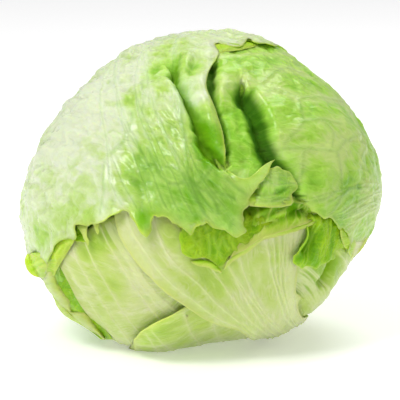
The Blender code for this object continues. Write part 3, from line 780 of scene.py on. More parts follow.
class Leaf:
    """A leaf's outer face as a grid of points, with what its surface pattern needs at each point."""

    def __init__(self, name, facts, wrap, edges, seed):
        self.name, self.facts, self.wrap = name, facts, wrap
        bends = (facts["row_bend"], facts["column_bend"])
        self.rows, self.columns = (steps(count, bend) for count, bend in zip(facts["grid"], bends))
        self.u, self.v = self.rows[:, None], self.columns[None]
        rng = np.random.default_rng(seed)
        root, left, tip, right = edges
        left, right = np.vstack([root[:1], left, tip[:1]]), np.vstack([root[-1:], right, tip[-1:]])
        root, tip = curve_through(root, self.columns), curve_through(tip, self.columns)
        left, right = curve_through(left, self.rows), curve_through(right, self.rows)
        loop = np.vstack([root, right, tip[::-1], left[::-1]])
        following = np.roll(loop, -1, axis=0)
        turn = np.sign((loop[:, 0] * following[:, 1] - loop[:, 1] * following[:, 0]).sum())
        step = np.gradient(tip, axis=0)
        outwards = unit_rows(turn * np.stack([-step[:, 1], step[:, 0]], axis=1))
        way = way_along(wrap.spread(tip))
        tip = tip + cusps(rng, way[-1], *facts["teeth"])(way)[:, None] * outwards / wrap.unit_length
        between_edges = coons(
            root[None], left[:, None], tip[None], right[:, None], self.u[..., None], self.v[..., None]
        )
        flat = relaxed(between_edges)
        spread = wrap.spread(flat)
        self.to_tip, nearest = nearest_on(wrap.spread(tip), spread)
        sides = [nearest_on(wrap.spread(side), spread)[0] for side in (left, right)]
        self.edge = np.minimum(self.to_tip, np.minimum(*sides))
        wave_length, wave_height, wave_reach = facts["ruffle"]
        wave = waves(rng, wave_length)(way)[nearest]
        self.lift = wave_height * (0.5 + 0.5 * wave) * np.exp(-((self.to_tip / wave_reach) ** 2))
        inwards = np.zeros_like(self.to_tip)
        for *pixel, half, reach, angle in facts["rolls"]:
            middle = way[int(np.argmin(self.away(wrap.spread(tip), pixel)))]
            share = np.exp(-(((way - middle) / half) ** 4))[nearest]
            radius = reach / (np.radians(angle) * share + 1e-4)
            inside = np.clip(1 - self.to_tip / reach, 0, 1) * reach
            inwards += inside - radius * np.sin(inside / radius)
            self.lift += radius * (1 - np.cos(inside / radius))
        self.tint = np.zeros_like(self.edge)
        for total, patches in ((self.lift, facts["swells"]), (self.tint, facts["tints"])):
            for *pixel, size, height in patches:
                total += height * np.exp(-((self.away(spread, pixel) / size) ** 2))
        self.flat = flat - inwards[..., None] * outwards[nearest] / wrap.unit_length
        self.spread = wrap.spread(self.flat)
        self.depth = np.zeros_like(self.edge)

    def away(self, spread, pixel):
        """Distance from a pixel of the picture."""
        return np.linalg.norm(spread - self.wrap.spread(self.wrap.at_pixels([pixel])), axis=-1)

    def settle(self, level):
        """Lays the leaf at its levels."""
        level = level - self.lift
        points, depth = place(self.wrap.unit(self.flat).reshape(-1, 3), level.ravel(), self.facts["folds"])
        self.points = points.reshape(*level.shape, 3)
        self.depth = depth.reshape(level.shape)
        return self

    def at(self, u, v):
        """Points of the outer face at shares of its length and width."""
        row = np.interp(u, self.rows, np.arange(len(self.rows)))
        return between(self.points, row, np.interp(v, self.columns, np.arange(len(self.columns))))

    def under(self, pixels):
        """Points of the outer face that show at pixels of the picture."""
        where = self.wrap.spread(self.wrap.at_pixels(pixels))
        numbers = [int(np.argmin(((self.spread - one) ** 2).sum(-1))) for one in where]
        return self.points.reshape(-1, 3)[numbers]

    def pattern(self):
        """Places in mm for its pattern: to its side and along it, or round its fan's middle and away."""
        if "fan" not in self.facts:
            return self.flat[..., ::-1] * self.wrap.unit_length
        away = (self.flat - self.wrap.at_pixels([self.facts["fan"]])[0]) * self.wrap.unit_length
        middle = away[len(self.rows) * 2 // 3, len(self.columns) // 2]
        turn = np.arctan2(away[..., 1], away[..., 0]) - math.atan2(middle[1], middle[0])
        turn = (turn + math.pi) % (2 * math.pi) - math.pi
        return np.stack([turn * FAN_RADIUS, np.hypot(away[..., 0], away[..., 1])], axis=-1)


def wrapper_leaf(name, facts, seed):
    wrap = Wrap(STEM_AXIS, direction(facts["heading"], 90))
    left, tip, right = (wrap.flat(facts[edge]) for edge in EDGES[1:])
    to_left, to_right = np.radians(facts["base_spread"]) * np.sign(tip[-1, 1] - tip[0, 1])
    bearing = np.linspace(-to_left, to_right, 5)
    root = BASE_START * np.stack([np.cos(bearing), np.sin(bearing)], axis=1)
    leaf = Leaf(name, facts, wrap, (root, left, tip, right), seed)
    u, v = leaf.u, leaf.v
    share = eased((u - facts["turn"]) / (1 - facts["turn"]))
    base, tip = (smooth_levels(facts[levels], v) for levels in ("base_levels", "tip_levels"))
    rib = facts["rib"] * (1 - u) ** 2 * (4 * v * (1 - v)) ** 2
    rib = rib * np.exp(-((leaf.flat[..., 1] / RIB_HALF_WIDTH) ** 2))
    return leaf.settle((1 - share) * base + share * tip - rib)


def drawn_leaf(name, facts, wrap, seed):
    """A leaf whose four edges are drawn in pixels."""
    return Leaf(name, facts, wrap, [wrap.at_pixels(facts[edge]) for edge in EDGES], seed)


def heart_leaf(name, facts, seed):
    leaf = drawn_leaf(name, facts, FACE, seed)
    unit = leaf.wrap.unit(leaf.flat).reshape(-1, 3)
    share = eased(leaf.u / INNER_ROOT_SHARE)
    inner = heart_level(unit).reshape(leaf.lift.shape) + INNER_ROOT_DEPTH
    return leaf.settle((1 - share) * inner + share * smooth_levels(facts["levels"], leaf.u))


def turned_margin(name, facts, seed):
    leaf = drawn_leaf(name, facts, PICTURE, seed)
    across, up = ((leaf.flat - PICTURE_MIDDLE) * PIXEL * np.array([1, -1])).reshape(-1, 2).T
    reach = np.hypot(across, up) / rim_radius(np.arctan2(up, across))
    forward = FRONT_DEPTH * np.sqrt(np.maximum(1 - reach**2, 0.02))
    nearer = 1 - forward / CAMERA_DISTANCE
    arch = facts["arch"] * np.sin(math.pi * leaf.u) * 4 * leaf.v * (1 - leaf.v)
    lift = smooth_levels(facts["lifts"], leaf.u) + arch + leaf.lift
    points = np.stack([across * nearer, up * nearer, forward + lift.ravel()], axis=1)
    leaf.points = to_world(points, 0).reshape(*leaf.edge.shape, 3)
    return leaf


def store(mesh, name, values):
    """Keeps a number or a vector at each point of a mesh."""
    values = np.asarray(values, np.float32)
    kind, key = ("FLOAT", "value") if values.ndim == 1 else ("FLOAT_VECTOR", "vector")
    mesh.attributes.new(name, kind, "POINT").data.foreach_set(key, values.ravel())


def points_of(mesh):
    found = np.zeros(len(mesh.vertices) * 3)
    mesh.vertices.foreach_get("co", found)
    return found.reshape(-1, 3)


def new_object(name, mesh):
    made = bpy.data.objects.new(name, mesh)
    bpy.context.scene.collection.objects.link(made)
    return made


def leaf_shell(leaf):
    """A closed blade: a fine outer face, a coarser inner face, and a rim of faces between them."""
    points = leaf.points
    normal = unit_rows(np.cross(np.gradient(points, axis=1), np.gradient(points, axis=0)))
    facing = (normal * (points - np.array(CENTRE))).sum() > 0
    if not facing:
        normal = -normal
    wall = MARGIN_THICKNESS + (BLADE_THICKNESS - MARGIN_THICKNESS) * eased(leaf.edge / MARGIN_TAPER)
    wall = wall + FOLD_THICKENING * eased(leaf.depth / FOLD_FULL_DEPTH)
    k = INNER_FACE_STEP
    inner = (points - wall[..., None] * normal)[::k, ::k]
    rows, columns = points.shape[:2]
    number = np.arange(rows * columns).reshape(rows, columns)
    inner_number = rows * columns + np.arange(inner.shape[0] * inner.shape[1]).reshape(inner.shape[:2])

    def quads(n, flipped):
        found = np.stack([n[:-1, :-1], n[:-1, 1:], n[1:, 1:], n[1:, :-1]], axis=-1).reshape(-1, 4)
        return (found[:, ::-1] if flipped else found).tolist()

    def around(n):
        return n[0], n[:, -1], n[-1, ::-1], n[::-1, 0]

    faces = quads(number, not facing) + quads(inner_number, facing)
    for fine, coarse in zip(around(number), around(inner_number)):
        for step in range(len(coarse) - 1):
            ring = fine[step * k : step * k + k + 1][::-1].tolist() + [coarse[step], coarse[step + 1]]
            faces.append([int(n) for n in (ring if facing else ring[::-1])])
    mesh = bpy.data.meshes.new(leaf.name)
    mesh.from_pydata(np.vstack([points.reshape(-1, 3), inner.reshape(-1, 3)]) * MM, [], faces)
    known = dict(
        flat=np.concatenate([leaf.pattern(), np.zeros((rows, columns, 1))], axis=2),
        along=np.broadcast_to(leaf.u, leaf.edge.shape), edge=leaf.edge, fold=leaf.depth, tint=leaf.tint,
    )
    for name, values in known.items():
        width = values.shape[2:]
        both = (values.reshape(-1, *width), values[::k, ::k].reshape(-1, *width))
        store(mesh, name, np.concatenate(both))
    store(mesh, "outer", np.repeat([1.0, 0.0], [number.size, inner_number.size]))
    mesh.shade_smooth()
    return mesh


def vein_lines(leaf, rng):
    """Veins that run from a leaf's base towards its tip, wander and fork, as (u, v, half-width) points."""
    count = leaf.facts["veins"]
    starts = [(k + 0.5) / count + rng.uniform(-0.2, 0.2) / count for k in range(count)]
    growing = [(0.0, start, 0.0, VEIN_START) for start in starts]
    lines = []
    while growing:
        u, v, drift, size = growing.pop()
        line = [(u, v, size)]
        fork = u + rng.uniform(*FIRST_FORK)
        while u < VEIN_BOUNDS[1] and VEIN_BOUNDS[0] < v < VEIN_BOUNDS[1]:
            drift += rng.normal(0, VEIN_WANDER) - VEIN_WANDER * drift
            u += VEIN_STEP
            v += drift * VEIN_STEP
            size = max(size - VEIN_THINNING, VEIN_THINNEST)
            line.append((u, v, size))
            if u > fork and len(lines) + len(growing) < MOST_FORKS * count:
                side = rng.choice((-1, 1))
                spread = rng.uniform(*FORK_SPREAD)
                growing.append((u, v, drift + side * spread, max(size * FORK_WIDTH, VEIN_THINNEST)))
                drift -= side * spread * FORK_RECOIL
                fork = u + rng.uniform(*NEXT_FORK)
        lines.append(line)
    return lines


def vein_object(leaf, rng):
    """The veins as bent lines on the leaf, each point with its half-width."""
    runs = []
    for line in vein_lines(leaf, rng):
        u, v, size = np.array(line).T
        runs.append((leaf.at(u, np.clip(v, 0, 1)), size))
    for line in leaf.facts["lines"]:
        dense = leaf.under(curve_through(line, np.linspace(0, 1, DRAWN_STEPS)))
        padded = np.pad(dense, ((2, 2), (0, 0)), mode="edge")
        evened = sum(padded[k : k + DRAWN_STEPS] for k in range(5)) / 5
        runs.append((evened, np.linspace(*DRAWN_WIDTHS, DRAWN_STEPS)))
    points, widths, edges = [(0.0, 0.0, -1.0), (0.0, 0.0, -1.001)], [0.001, 0.001], [(0, 1)]
    for where, size in runs:
        first = len(points)
        points.extend((where * MM).tolist())
        widths.extend((size * MM).tolist())
        edges.extend((n, n + 1) for n in range(first, len(points) - 1))
    mesh = bpy.data.meshes.new(leaf.name + "_veins")
    mesh.from_pydata(points, edges, [])
    store(mesh, "width", widths)
    return new_object(leaf.name + "_veins", mesh)


# Nodes


def operator(operation, swapped=False):
    """A method that adds a Math node for a wire and another value."""

    def done(self, other):
        return self.math(operation, *((other, self) if swapped else (self, other)))

    return done


class Wire:
    """A node's output. Arithmetic on it adds Math nodes to its tree."""

    def __init__(self, maker, socket):
        self.maker, self.socket = maker, socket

    def math(self, operation, *values):
        inputs = dict(enumerate(values))
        return self.maker.add("ShaderNodeMath", dict(operation=operation), inputs)["Value"]

    __add__ = __radd__ = operator("ADD")
    __mul__ = __rmul__ = operator("MULTIPLY")
    __sub__, __rsub__ = operator("SUBTRACT"), operator("SUBTRACT", swapped=True)
    __truediv__, __rtruediv__ = operator("DIVIDE"), operator("DIVIDE", swapped=True)
    larger = operator("MAXIMUM")

    def __abs__(self):
        return self.math("ABSOLUTE", self)

    def clamped(self):
        return self.maker.add("ShaderNodeClamp", {}, {"Value": self})["Result"]

    def eased(self, low, high):
        """0 below low, 1 above high, with a soft step between."""
        settings = dict(interpolation_type="SMOOTHSTEP")
        inputs = {"Value": self, "From Min": low, "From Max": high}
        return self.maker.add("ShaderNodeMapRange", settings, inputs)["Result"]

    def bell(self, width):
        """1 where it is 0, falling away over a width."""
        ratio = self / width
        return self.math("EXPONENT", ratio * ratio * -1.0)


class Maker:
    """Adds nodes to one tree."""

    def __init__(self, tree):
        self.tree = tree

    def plug(self, node, inputs):
        """Sets or links a node's sockets, which are given by name or by number."""
        for key, value in inputs.items():
            named = (socket for socket in node.inputs if socket.name == key and socket.enabled)
            socket = node.inputs[key] if isinstance(key, int) else next(named)
            if isinstance(value, Wire):
                self.tree.links.new(value.socket, socket)
            else:
                socket.default_value = value

    def add(self, kind, settings=(), inputs=()):
        """A node with its settings and the values or links of its sockets. Gives its outputs by name."""
        node = self.tree.nodes.new(kind)
        for name, value in dict(settings).items():
            setattr(node, name, value)
        self.plug(node, dict(inputs))
        return {s.name: Wire(self, s) for s in reversed(node.outputs) if s.enabled}

    def vector(self, operation, first, second):
        inputs = {0: first, ("Scale" if operation == "SCALE" else 1): second}
        return self.add("ShaderNodeVectorMath", dict(operation=operation), inputs)["Vector"]

    def noise(self, vector, sizes, detail=2.0, warp=0.0, output="Fac"):
        """A noise whose grains have sizes along the vector's first axes, in its unit."""
        by = tuple(1 / size for size in (*sizes, 1.0, 1.0)[:3])
        vector = self.vector("MULTIPLY", vector, by)
        inputs = {"Vector": vector, "Scale": 1.0, "Detail": detail, "Distortion": warp}
        return self.add("ShaderNodeTexNoise", {}, inputs)[output]

    def blend(self, amount, first, second):
        """One colour towards another."""
        inputs = {"Factor": amount, "A": first, "B": second}
        return self.add("ShaderNodeMix", dict(data_type="RGBA"), inputs)["Result"]


# Relief of a leaf

SIZE_SOCKETS = (
    "Vein height", "Blister height", "Blister length", "Blister stretch", "Crinkle height", "Swell height",
    "Seed",
)


def relief_tree():
    """Raises the veins and blisters of a leaf's outer face, and keeps how near a vein each point is."""
    tree = bpy.data.node_groups.new("Leaf relief", "GeometryNodeTree")
    sockets = [("Leaf", "INPUT", "Geometry"), ("Veins", "INPUT", "Object")]
    sockets += [(name, "INPUT", "Float") for name in SIZE_SOCKETS]
    for name, way, kind in (*sockets, ("Finish", "INPUT", "Material"), ("Leaf", "OUTPUT", "Geometry")):
        tree.interface.new_socket(name, in_out=way, socket_type="NodeSocket" + kind)
    maker = Maker(tree)
    given = maker.add("NodeGroupInput")

    def named(name, kind="FLOAT"):
        return maker.add("GeometryNodeInputNamedAttribute", dict(data_type=kind), {"Name": name})["Attribute"]

    flat, outer, edge, along = named("flat", "FLOAT_VECTOR"), named("outer"), named("edge"), named("along")
    veins = maker.add("GeometryNodeObjectInfo", {}, {"Object": given["Veins"]})["Geometry"]
    distance = maker.add("GeometryNodeProximity", dict(target_element="EDGES"), {0: veins})["Distance"]
    nearest = maker.add("GeometryNodeSampleNearest", dict(domain="POINT"), {"Geometry": veins})["Index"]
    at_points = dict(data_type="FLOAT", domain="POINT")
    inputs = {"Geometry": veins, "Value": named("width"), "Index": nearest}
    width = maker.add("GeometryNodeSampleIndex", at_points, inputs)["Value"]
    vein, shoulder = distance.bell(width), distance.bell(width * 4.0)
    seed = maker.add("ShaderNodeCombineXYZ", {}, {"Z": given["Seed"]})["Vector"]
    length = given["Blister length"]
    inputs = {"X": 1 / length, "Y": 1 / (length * given["Blister stretch"]), "Z": 1.0}
    stretch = maker.add("ShaderNodeCombineXYZ", {}, inputs)["Vector"]
    spots = maker.vector("ADD", maker.vector("MULTIPLY", flat, stretch), seed)

    def grain(size, warp):
        return maker.noise(spots, (size, size), 2.0, warp)

    blister = (grain(1.0, 0.6) - 0.5) * 2.0 * (1 - 0.8 * shoulder)
    crinkle = (1 - abs(grain(0.5, 0.8) - 0.5) * 4.0).clamped() * grain(2.4, 0.0).eased(0.44, 0.6)
    height = vein * given["Vein height"] * (1.3 - 0.6 * along) + blister * given["Blister height"]
    height = height + crinkle * given["Crinkle height"]
    height = height + (grain(2.6, 0.3) - 0.5) * 2.0 * given["Swell height"]
    height = height * (2 * outer - 1) * (0.25 + 0.75 * edge.eased(0.0, 4.0))
    leaf = given["Leaf"]
    kept = dict(vein=vein * outer, swell=blister + crinkle * 0.25, halo=shoulder * outer)
    for name, value in kept.items():
        inputs = {"Geometry": leaf, "Name": name, "Value": value}
        leaf = maker.add("GeometryNodeStoreNamedAttribute", at_points, inputs)["Geometry"]
    offset = maker.vector("SCALE", maker.add("GeometryNodeInputNormal")["Normal"], height)
    leaf = maker.add("GeometryNodeSetPosition", {}, {"Geometry": leaf, "Offset": offset})["Geometry"]
    leaf = maker.add("GeometryNodeRealizeInstances", {}, {"Geometry": leaf})["Geometry"]
    inputs = {"Geometry": leaf, "Material": given["Finish"]}
    leaf = maker.add("GeometryNodeSetMaterial", {}, inputs)["Geometry"]
    maker.add("NodeGroupOutput", {}, {0: leaf})
    return tree


RELIEF = relief_tree()


def with_relief(made, veins, **values):
    """Runs the relief on an object and turns the result to a plain mesh that stays above the floor."""
    modifier = made.modifiers.new("Relief", "NODES")
    modifier.node_group = RELIEF
    values = {name.replace("_", " ").capitalize(): value for name, value in dict(values, veins=veins).items()}
    for item in RELIEF.interface.items_tree:
        if item.in_out == "INPUT" and item.name in values:
            modifier[item.identifier] = values[item.name]
    bpy.context.view_layer.update()
    mesh = bpy.data.meshes.new_from_object(made.evaluated_get(bpy.context.evaluated_depsgraph_get()))
    made.modifiers.clear()
    made.data = mesh
    points = points_of(mesh)
    points[:, 2] = np.maximum(points[:, 2], 0)
    mesh.vertices.foreach_set("co", points.ravel())
    mesh.shade_smooth()
    bpy.data.objects.remove(veins)


# Finishes


def colour(red, green, blue):
    """A colour given in screen values, 0 to 255."""
    shares = [tone / 255 for tone in (red, green, blue)]
    linear = [share / 12.92 if share <= 0.04 else ((share + 0.055) / 1.055) ** 2.4 for share in shares]
    return (*linear, 1.0)


# Each leaf finish. First its colours: of its thick parts, of its middling parts and of its thin green parts,
# of its margin, of its inner side, of the painted shade in its deep folds and of its veins. Then how green it
# is at its base and at its tip; how much paler it is beside its veins; how strongly its long fibres and its
# net of small veins show, and the size of a mesh of that net; how rough it is, how strong its waxy coat is
# and how patchy its green is. Last its relief.
FINISH_KEYS = (
    "thick", "mid", "thin", "rim", "under", "deep", "vein",
    "base", "tip", "halo", "fibres", "net", "cell", "gloss", "coat", "patch",
)
RELIEF_KEYS = ("blister_height", "blister_length", "blister_stretch", "crinkle_height", "swell_height")
FINISH_ROWS = {
    "pale": (
        (206, 225, 178), (166, 204, 94), (102, 160, 0), (164, 192, 70),
        (150, 192, 36), (100, 150, 8), (92, 136, 40),
        0.14, 0.26, 0.22, 0.05, 0.05, 7.0, 0.3, 0.36, 0.8,
        0.0019, 5.0, 2.8, 0.0004, 0.0018,
    ),
    "green": (
        (182, 212, 114), (152, 202, 66), (106, 168, 0), (160, 192, 72),
        (136, 178, 40), (50, 104, 0), (66, 114, 22),
        0.36, 0.55, 0.45, 0.04, 0.16, 10.0, 0.34, 0.34, 1.0,
        0.0016, 7.0, 1.4, 0.0004, 0.0018,
    ),
    "cream": (
        (202, 216, 150), (174, 202, 90), (136, 176, 30), (188, 202, 104),
        (168, 188, 84), (96, 140, 10), (206, 214, 156),
        0.2, 0.4, 0.2, 0.26, 0.04, 6.0, 0.4, 0.3, 0.55,
        0.0007, 9.0, 2.6, 0.0002, 0.0016,
    ),
    "bright": (
        (150, 192, 20), (112, 166, 0), (88, 146, 0), (150, 190, 48),
        (150, 190, 56), (54, 110, 0), (156, 190, 70),
        0.5, 0.7, 0.35, 0.08, 0.25, 5.5, 0.32, 0.12, 1.0,
        0.0007, 5.0, 1.3, 0.0003, 0.0006,
    ),
    "hem": (
        (186, 220, 84), (148, 202, 28), (104, 166, 0), (182, 200, 92),
        (166, 192, 84), (70, 124, 0), (180, 200, 96),
        0.6, 0.25, 0.2, 0.25, 0.08, 6.0, 0.36, 0.2, 0.8,
        0.0005, 4.5, 2.4, 0.0002, 0.0006,
    ),
    "lime": (
        (184, 214, 64), (150, 202, 10), (118, 180, 0), (184, 216, 88),
        (156, 200, 44), (80, 134, 0), (188, 212, 100),
        0.6, 0.75, 0.3, 0.1, 0.3, 5.0, 0.34, 0.16, 0.8,
        0.0005, 4.0, 1.3, 0.0002, 0.0005,
    ),
    "pale_lime": (
        (192, 208, 132), (168, 196, 78), (128, 172, 12), (184, 208, 88),
        (152, 188, 44), (88, 138, 0), (188, 208, 120),
        0.45, 0.6, 0.2, 0.15, 0.1, 5.0, 0.36, 0.2, 0.7,
        0.0005, 4.0, 2.4, 0.0002, 0.0006,
    ),
}

# The size in mm of each thing in a finish's pattern, to a leaf's side and along it, and how far it all drifts
DRIFT, BLOTCH, MOTTLE, GRAIN = (14.0, 20.0), (16.0, 26.0), (3.6, 6.5), (1.8, 3.2)
STRAND, STRAND_GAP = (2.2, 20.0), (9.0, 14.0)
DRIFT_LENGTH = 6.0

# How strongly a finish's colours show: its veins' on pale and what green adds; its rim's at two distances in
# mm from the margin; its inner side's; the painted shade of its deep folds, and the depths in mm where this
# painted shade and a fold's rougher, less waxy surface set in
VEIN_BLEND = (0.26, 0.5)
NEAR_RIM, FAR_RIM = (0.7, 0.7), (3.0, 0.2)
UNDER_BLEND = 0.8
FOLD_SHADE_BLEND = 0.92
FOLD_SHADE_RANGE = (1.2, 7.0)
SUNK_RANGE = (0.8, 3.0)
FULLEST_GREEN = 1.12
LEAF_BUMP = {"Strength": 0.6, "Distance": 0.0007}
STEM_BUMP = {"Strength": 0.6, "Distance": 0.0004}
STEM_FLESH, STEM_TAN, STEM_SPECK = (228, 216, 172), (168, 118, 66), (206, 190, 140)
LEAF_CONSTANTS = {
    "Subsurface Weight": 0.6, "Subsurface Radius": (0.7, 1.0, 0.25), "Subsurface Scale": 0.006,
    "Coat Roughness": 0.22,
}
STEM_CONSTANTS = {"Subsurface Weight": 0.2, "Subsurface Radius": (1.0, 0.8, 0.4), "Subsurface Scale": 0.003}


def new_material(name):
    """A material, its shader and a maker for its tree."""
    made = bpy.data.materials.new(name)
    made.use_nodes = True
    return made, made.node_tree.nodes["Principled BSDF"], Maker(made.node_tree)


def leaf_finish(name, row):
    made, shader, maker = new_material("leaf_" + name)
    facts = {key: colour(*fact) if isinstance(fact, tuple) else fact for key, fact in zip(FINISH_KEYS, row)}

    def attribute(name, output="Fac"):
        return maker.add("ShaderNodeAttribute", dict(attribute_name=name))[output]

    flat = attribute("flat", "Vector")
    along, edge, fold = attribute("along"), attribute("edge"), attribute("fold")
    vein, halo, swell, tint = attribute("vein"), attribute("halo"), attribute("swell"), attribute("tint")
    drift = maker.vector("SCALE", maker.noise(flat, DRIFT, output="Color"), DRIFT_LENGTH)
    bent = maker.vector("ADD", flat, drift)

    def net_of(size, width):
        by = (1 / (size * 0.8), 1 / (size * 1.3), 1.0)
        settings = dict(feature="DISTANCE_TO_EDGE")
        inputs = {"Vector": maker.vector("MULTIPLY", bent, by), "Scale": 1.0}
        return maker.add("ShaderNodeTexVoronoi", settings, inputs)["Distance"].bell(width)

    strand = (1 - abs(maker.noise(bent, STRAND) - 0.5) * 9.0).clamped()
    strand = strand * maker.noise(bent, STRAND_GAP).eased(0.42, 0.64)
    net = (net_of(facts["cell"], 0.05) + 0.4 * net_of(facts["cell"] * 0.36, 0.08)).clamped()
    blotch = maker.noise(bent, BLOTCH, 3.0).eased(0.36, 0.66)
    mottle = maker.noise(bent, MOTTLE, 3.0)
    lines = (strand * facts["fibres"]).larger(net * facts["net"])
    green = facts["base"] + (facts["tip"] - facts["base"]) * along.eased(0.25, 0.95) + tint
    # Greener the deeper a fold is, and paler on the tops of the blisters and greener in their hollows:
    # painted shade and painted highlight that follow the relief
    green = green + (blotch * 0.3 + mottle * 0.4 - 0.35) * facts["patch"] + fold * 0.04 - swell * 0.3
    green = FULLEST_GREEN - (FULLEST_GREEN - green).larger(0.0) - halo * facts["halo"] - lines
    shade = maker.blend((green * 2).clamped(), facts["thick"], facts["mid"])
    shade = maker.blend((green * 2 - 1).clamped(), shade, facts["thin"])
    shade = maker.blend(vein * (VEIN_BLEND[0] + VEIN_BLEND[1] * green.clamped()), shade, facts["vein"])
    rim = edge.bell(NEAR_RIM[0]) * NEAR_RIM[1] + edge.bell(FAR_RIM[0]) * FAR_RIM[1]
    shade = maker.blend(rim.clamped(), shade, facts["rim"])
    shade = maker.blend((1 - attribute("outer")) * UNDER_BLEND, shade, facts["under"])
    # Deep folds are painted towards the finish's deep colour: painted shade
    shade = maker.blend(fold.eased(*FOLD_SHADE_RANGE) * FOLD_SHADE_BLEND, shade, facts["deep"])
    sunk = fold.eased(*SUNK_RANGE)
    ridge = strand * 0.35 + net * facts["net"] * 1.2 + maker.noise(bent, GRAIN, 3.0) * 1.1 + mottle * 0.8
    bump = dict(LEAF_BUMP, Height=ridge)
    maker.plug(shader, {
        "Base Color": shade,
        "Roughness": facts["gloss"] + (mottle - 0.5) * 0.25 + 0.06 * lines + 0.5 * sunk,
        "Normal": maker.add("ShaderNodeBump", {}, bump)["Normal"],
        "Specular IOR Level": facts["coat"] / 2,
        "Coat Weight": facts["coat"] * (1 - sunk),
        **LEAF_CONSTANTS,
    })
    return made


def stem_finish():
    """The cut face: moist cream flesh with a tan ring of sap lines."""
    made, shader, maker = new_material("stem_cut")
    out = maker.add("ShaderNodeAttribute", dict(attribute_name="out"))["Fac"]
    where = maker.add("ShaderNodeTexCoord")["Object"]
    speck, cloud = maker.noise(where, (0.0012,) * 3, 3.0), maker.noise(where, (0.006,) * 3, 3.0)
    ring = (out - 0.62).bell(0.06) * 0.35 * speck.eased(0.45, 0.6)
    tan = (out + (cloud - 0.5) * 0.25).eased(0.74, 1.0) * 0.75 + ring
    shade = maker.blend(tan.clamped(), colour(*STEM_FLESH), colour(*STEM_TAN))
    bump = dict(STEM_BUMP, Height=speck + cloud)
    maker.plug(shader, {
        "Base Color": maker.blend(speck.eased(0.55, 0.75) * 0.3, shade, colour(*STEM_SPECK)),
        "Roughness": 0.5 + (cloud - 0.5) * 0.3,
        "Normal": maker.add("ShaderNodeBump", {}, bump)["Normal"],
        **STEM_CONSTANTS,
    })
    return made


# Pieces


def finished(made, node):
    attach(made, "root")
    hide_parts(node)


def make_leaf(leaf, node, seed, finishes):
    kind = leaf.facts["finish"]
    made = new_object(leaf.name + "_blade", leaf_shell(leaf))
    veins = vein_object(leaf, np.random.default_rng(seed + VEIN_SEEDS))
    relief = dict(zip(RELIEF_KEYS, FINISH_ROWS[kind][len(FINISH_KEYS):]), seed=seed * RELIEF_SEED)
    with_relief(made, veins, finish=finishes[kind], vein_height=VEIN_HEIGHT, **relief)
    finished(made, node)


def make_heart_ball(finishes):
    """The dense ball of folded leaves, as far as it shows in the gaps."""
    bpy.ops.mesh.primitive_ico_sphere_add(subdivisions=5, radius=1)
    made = bpy.context.object
    made.name = "heart_ball"
    unit = unit_rows(points_of(made.data))
    points, normal = envelope(unit)
    points = points - heart_level(unit)[:, None] * normal
    beyond = np.maximum(points @ STEM_AXIS - (STEM_REACH - STEM_DEPTH - HEART_STEM_GAP), 0)
    points = to_world(points - beyond[:, None] * STEM_AXIS, HEART_LEVEL)
    made.data.vertices.foreach_set("co", (points * MM).ravel())
    clock = np.arctan2(unit[:, 1], unit[:, 0]) * HEAD_RADIUS
    tilt = np.arccos(np.clip(unit[:, 2], -1, 1))
    store(made.data, "flat", np.stack([clock * np.sin(tilt), tilt * HEAD_RADIUS, 0 * tilt], axis=1))
    for name, value in dict(along=0.6, edge=20.0, outer=1.0).items():
        store(made.data, name, np.full(len(unit), value))
    made.data.shade_smooth()
    made.data.materials.append(finishes["bright"])
    finished(made, "heart")


def make_stem(finish):
    """The cut stump as a turned shape: a slightly hollow cut face with a rounded rim, and its side."""
    length = STEM_DEPTH + STEM_PROUD
    places, known = np.linspace(0, 1, STEM_RINGS), np.linspace(0, 1, len(STEM_OUT))
    out = np.interp(places, known, STEM_OUT) * STEM_RADIUS
    out = np.append(out, [STEM_CORE_RADIUS + 1, STEM_CORE_RADIUS])
    heights = np.append(np.interp(places, known, STEM_HEIGHTS), [-length / 2, -length])
    turn = np.linspace(0, 2 * math.pi, STEM_SIDES, endpoint=False)
    wobble = 1 + 0.02 * np.sin(3 * turn + 1) + 0.012 * np.sin(7 * turn)
    rings = [
        np.stack([r * wobble * np.cos(turn), r * wobble * np.sin(turn), np.full(STEM_SIDES, h)], axis=1)
        for r, h in zip(out[1:], heights[1:])
    ]
    points = np.vstack([[[0, 0, heights[0]]], *rings, [[0, 0, heights[-1]]]])
    after = [(k + 1) % STEM_SIDES for k in range(STEM_SIDES)]
    faces = [(0, 1 + k, 1 + after[k]) for k in range(STEM_SIDES)]
    for ring in range(len(rings) - 1):
        a, b = 1 + ring * STEM_SIDES, 1 + (ring + 1) * STEM_SIDES
        faces += [(a + k, b + k, b + after[k], a + after[k]) for k in range(STEM_SIDES)]
    last = 1 + (len(rings) - 1) * STEM_SIDES
    faces += [(last + k, len(points) - 1, last + after[k]) for k in range(STEM_SIDES)]
    reaches = np.array([[STEM_REACH - STEM_DEPTH], [STEM_REACH + STEM_PROUD]])
    ends = to_world(reaches * STEM_AXIS, 0)
    axis = Vector(ends[1] - ends[0]).normalized()
    matrix = Matrix.Translation(Vector(ends[1])) @ axis.to_track_quat("Z", "Y").to_matrix().to_4x4()
    mesh = bpy.data.meshes.new("stem_stump")
    mesh.from_pydata([matrix @ Vector(p) * MM for p in points], [], faces)
    share = np.append(out[1 : STEM_RINGS] / STEM_RADIUS, [1, 1])
    store(mesh, "out", np.concatenate([[0], np.repeat(share, STEM_SIDES), [1]]))
    mesh.shade_smooth()
    mesh.materials.append(finish)
    finished(new_object("stem_stump", mesh), "stem")


# Stage


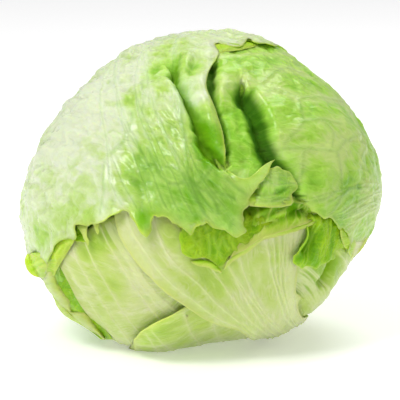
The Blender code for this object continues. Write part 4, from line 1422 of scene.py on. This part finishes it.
def make_stage():
    mesh = bpy.data.meshes.new("floor")
    corners = ((-1, -1), (1, -1), (1, 1), (-1, 1))
    mesh.from_pydata([(x * FLOOR_SIDE, y * FLOOR_SIDE, 0) for x, y in corners], [], [(0, 1, 2, 3)])
    floor = new_object("floor", mesh)
    white, shader, maker = new_material("floor_white")
    maker.plug(shader, {
        "Base Color": (FLOOR_TONE, FLOOR_TONE, FLOOR_TONE, 1), "Roughness": 0.7,
        "Emission Color": (1, 1, 1, 1), "Emission Strength": FLOOR_GLOW,
    })
    mesh.materials.append(white)


def aimed(name, data, where, towards):
    """An object with a light's or camera's data, at a place and turned in a direction."""
    made = new_object(name, data)
    made.location = where
    made.rotation_euler = towards.to_track_quat("-Z", "Y").to_euler()
    return made


def make_lights():
    world = bpy.data.worlds.new("studio")
    world.use_nodes = True
    sky = {"Color": (1, 1, 1, 1), "Strength": SKY_STRENGTH}
    Maker(world.node_tree).plug(world.node_tree.nodes["Background"], sky)
    bpy.context.scene.world = world
    for name, facts in dict(key=KEY_LIGHT, top=TOP_LIGHT).items():
        data = bpy.data.lights.new(name, "AREA")
        data.shape = "DISK"
        data.size = facts["size"]
        data.energy = facts["power"]
        aimed(name, data, facts["place"], Vector(LIT_MIDDLE) - Vector(facts["place"]))
    bpy.context.scene.view_settings.view_transform = "Standard"


def make_camera():
    data = bpy.data.cameras.new("camera")
    data.sensor_width = SENSOR
    data.lens = SENSOR * CAMERA_DISTANCE / (PICTURE_SIDE * PIXEL)
    towards = Vector((0, math.cos(FACE_LEAN), -math.sin(FACE_LEAN)))
    up = Vector((0, math.sin(FACE_LEAN), math.cos(FACE_LEAN)))
    aim = Vector(CENTRE) + up * (PICTURE_MIDDLE[1] - PICTURE_SIDE / 2) * PIXEL
    bpy.context.scene.camera = aimed("camera", data, (aim - towards * CAMERA_DISTANCE) * MM, towards)


def main():
    finishes = {name: leaf_finish(name, row) for name, row in FINISH_ROWS.items()}
    tables = (WRAPPER_LEAVES, HEART_LEAVES, TURNED_MARGINS)
    for table, shaped, first_seed in zip(tables, (wrapper_leaf, heart_leaf, turned_margin), FIRST_SEEDS):
        for seed, (name, facts) in enumerate(table.items(), first_seed):
            node = name if table is WRAPPER_LEAVES else facts.get("node", "heart")
            make_leaf(shaped(name, {**PLAIN, **facts}, seed), node, seed, finishes)
    make_heart_ball(finishes)
    make_stem(stem_finish())
    make_stage()
    make_lights()
    make_camera()


main()
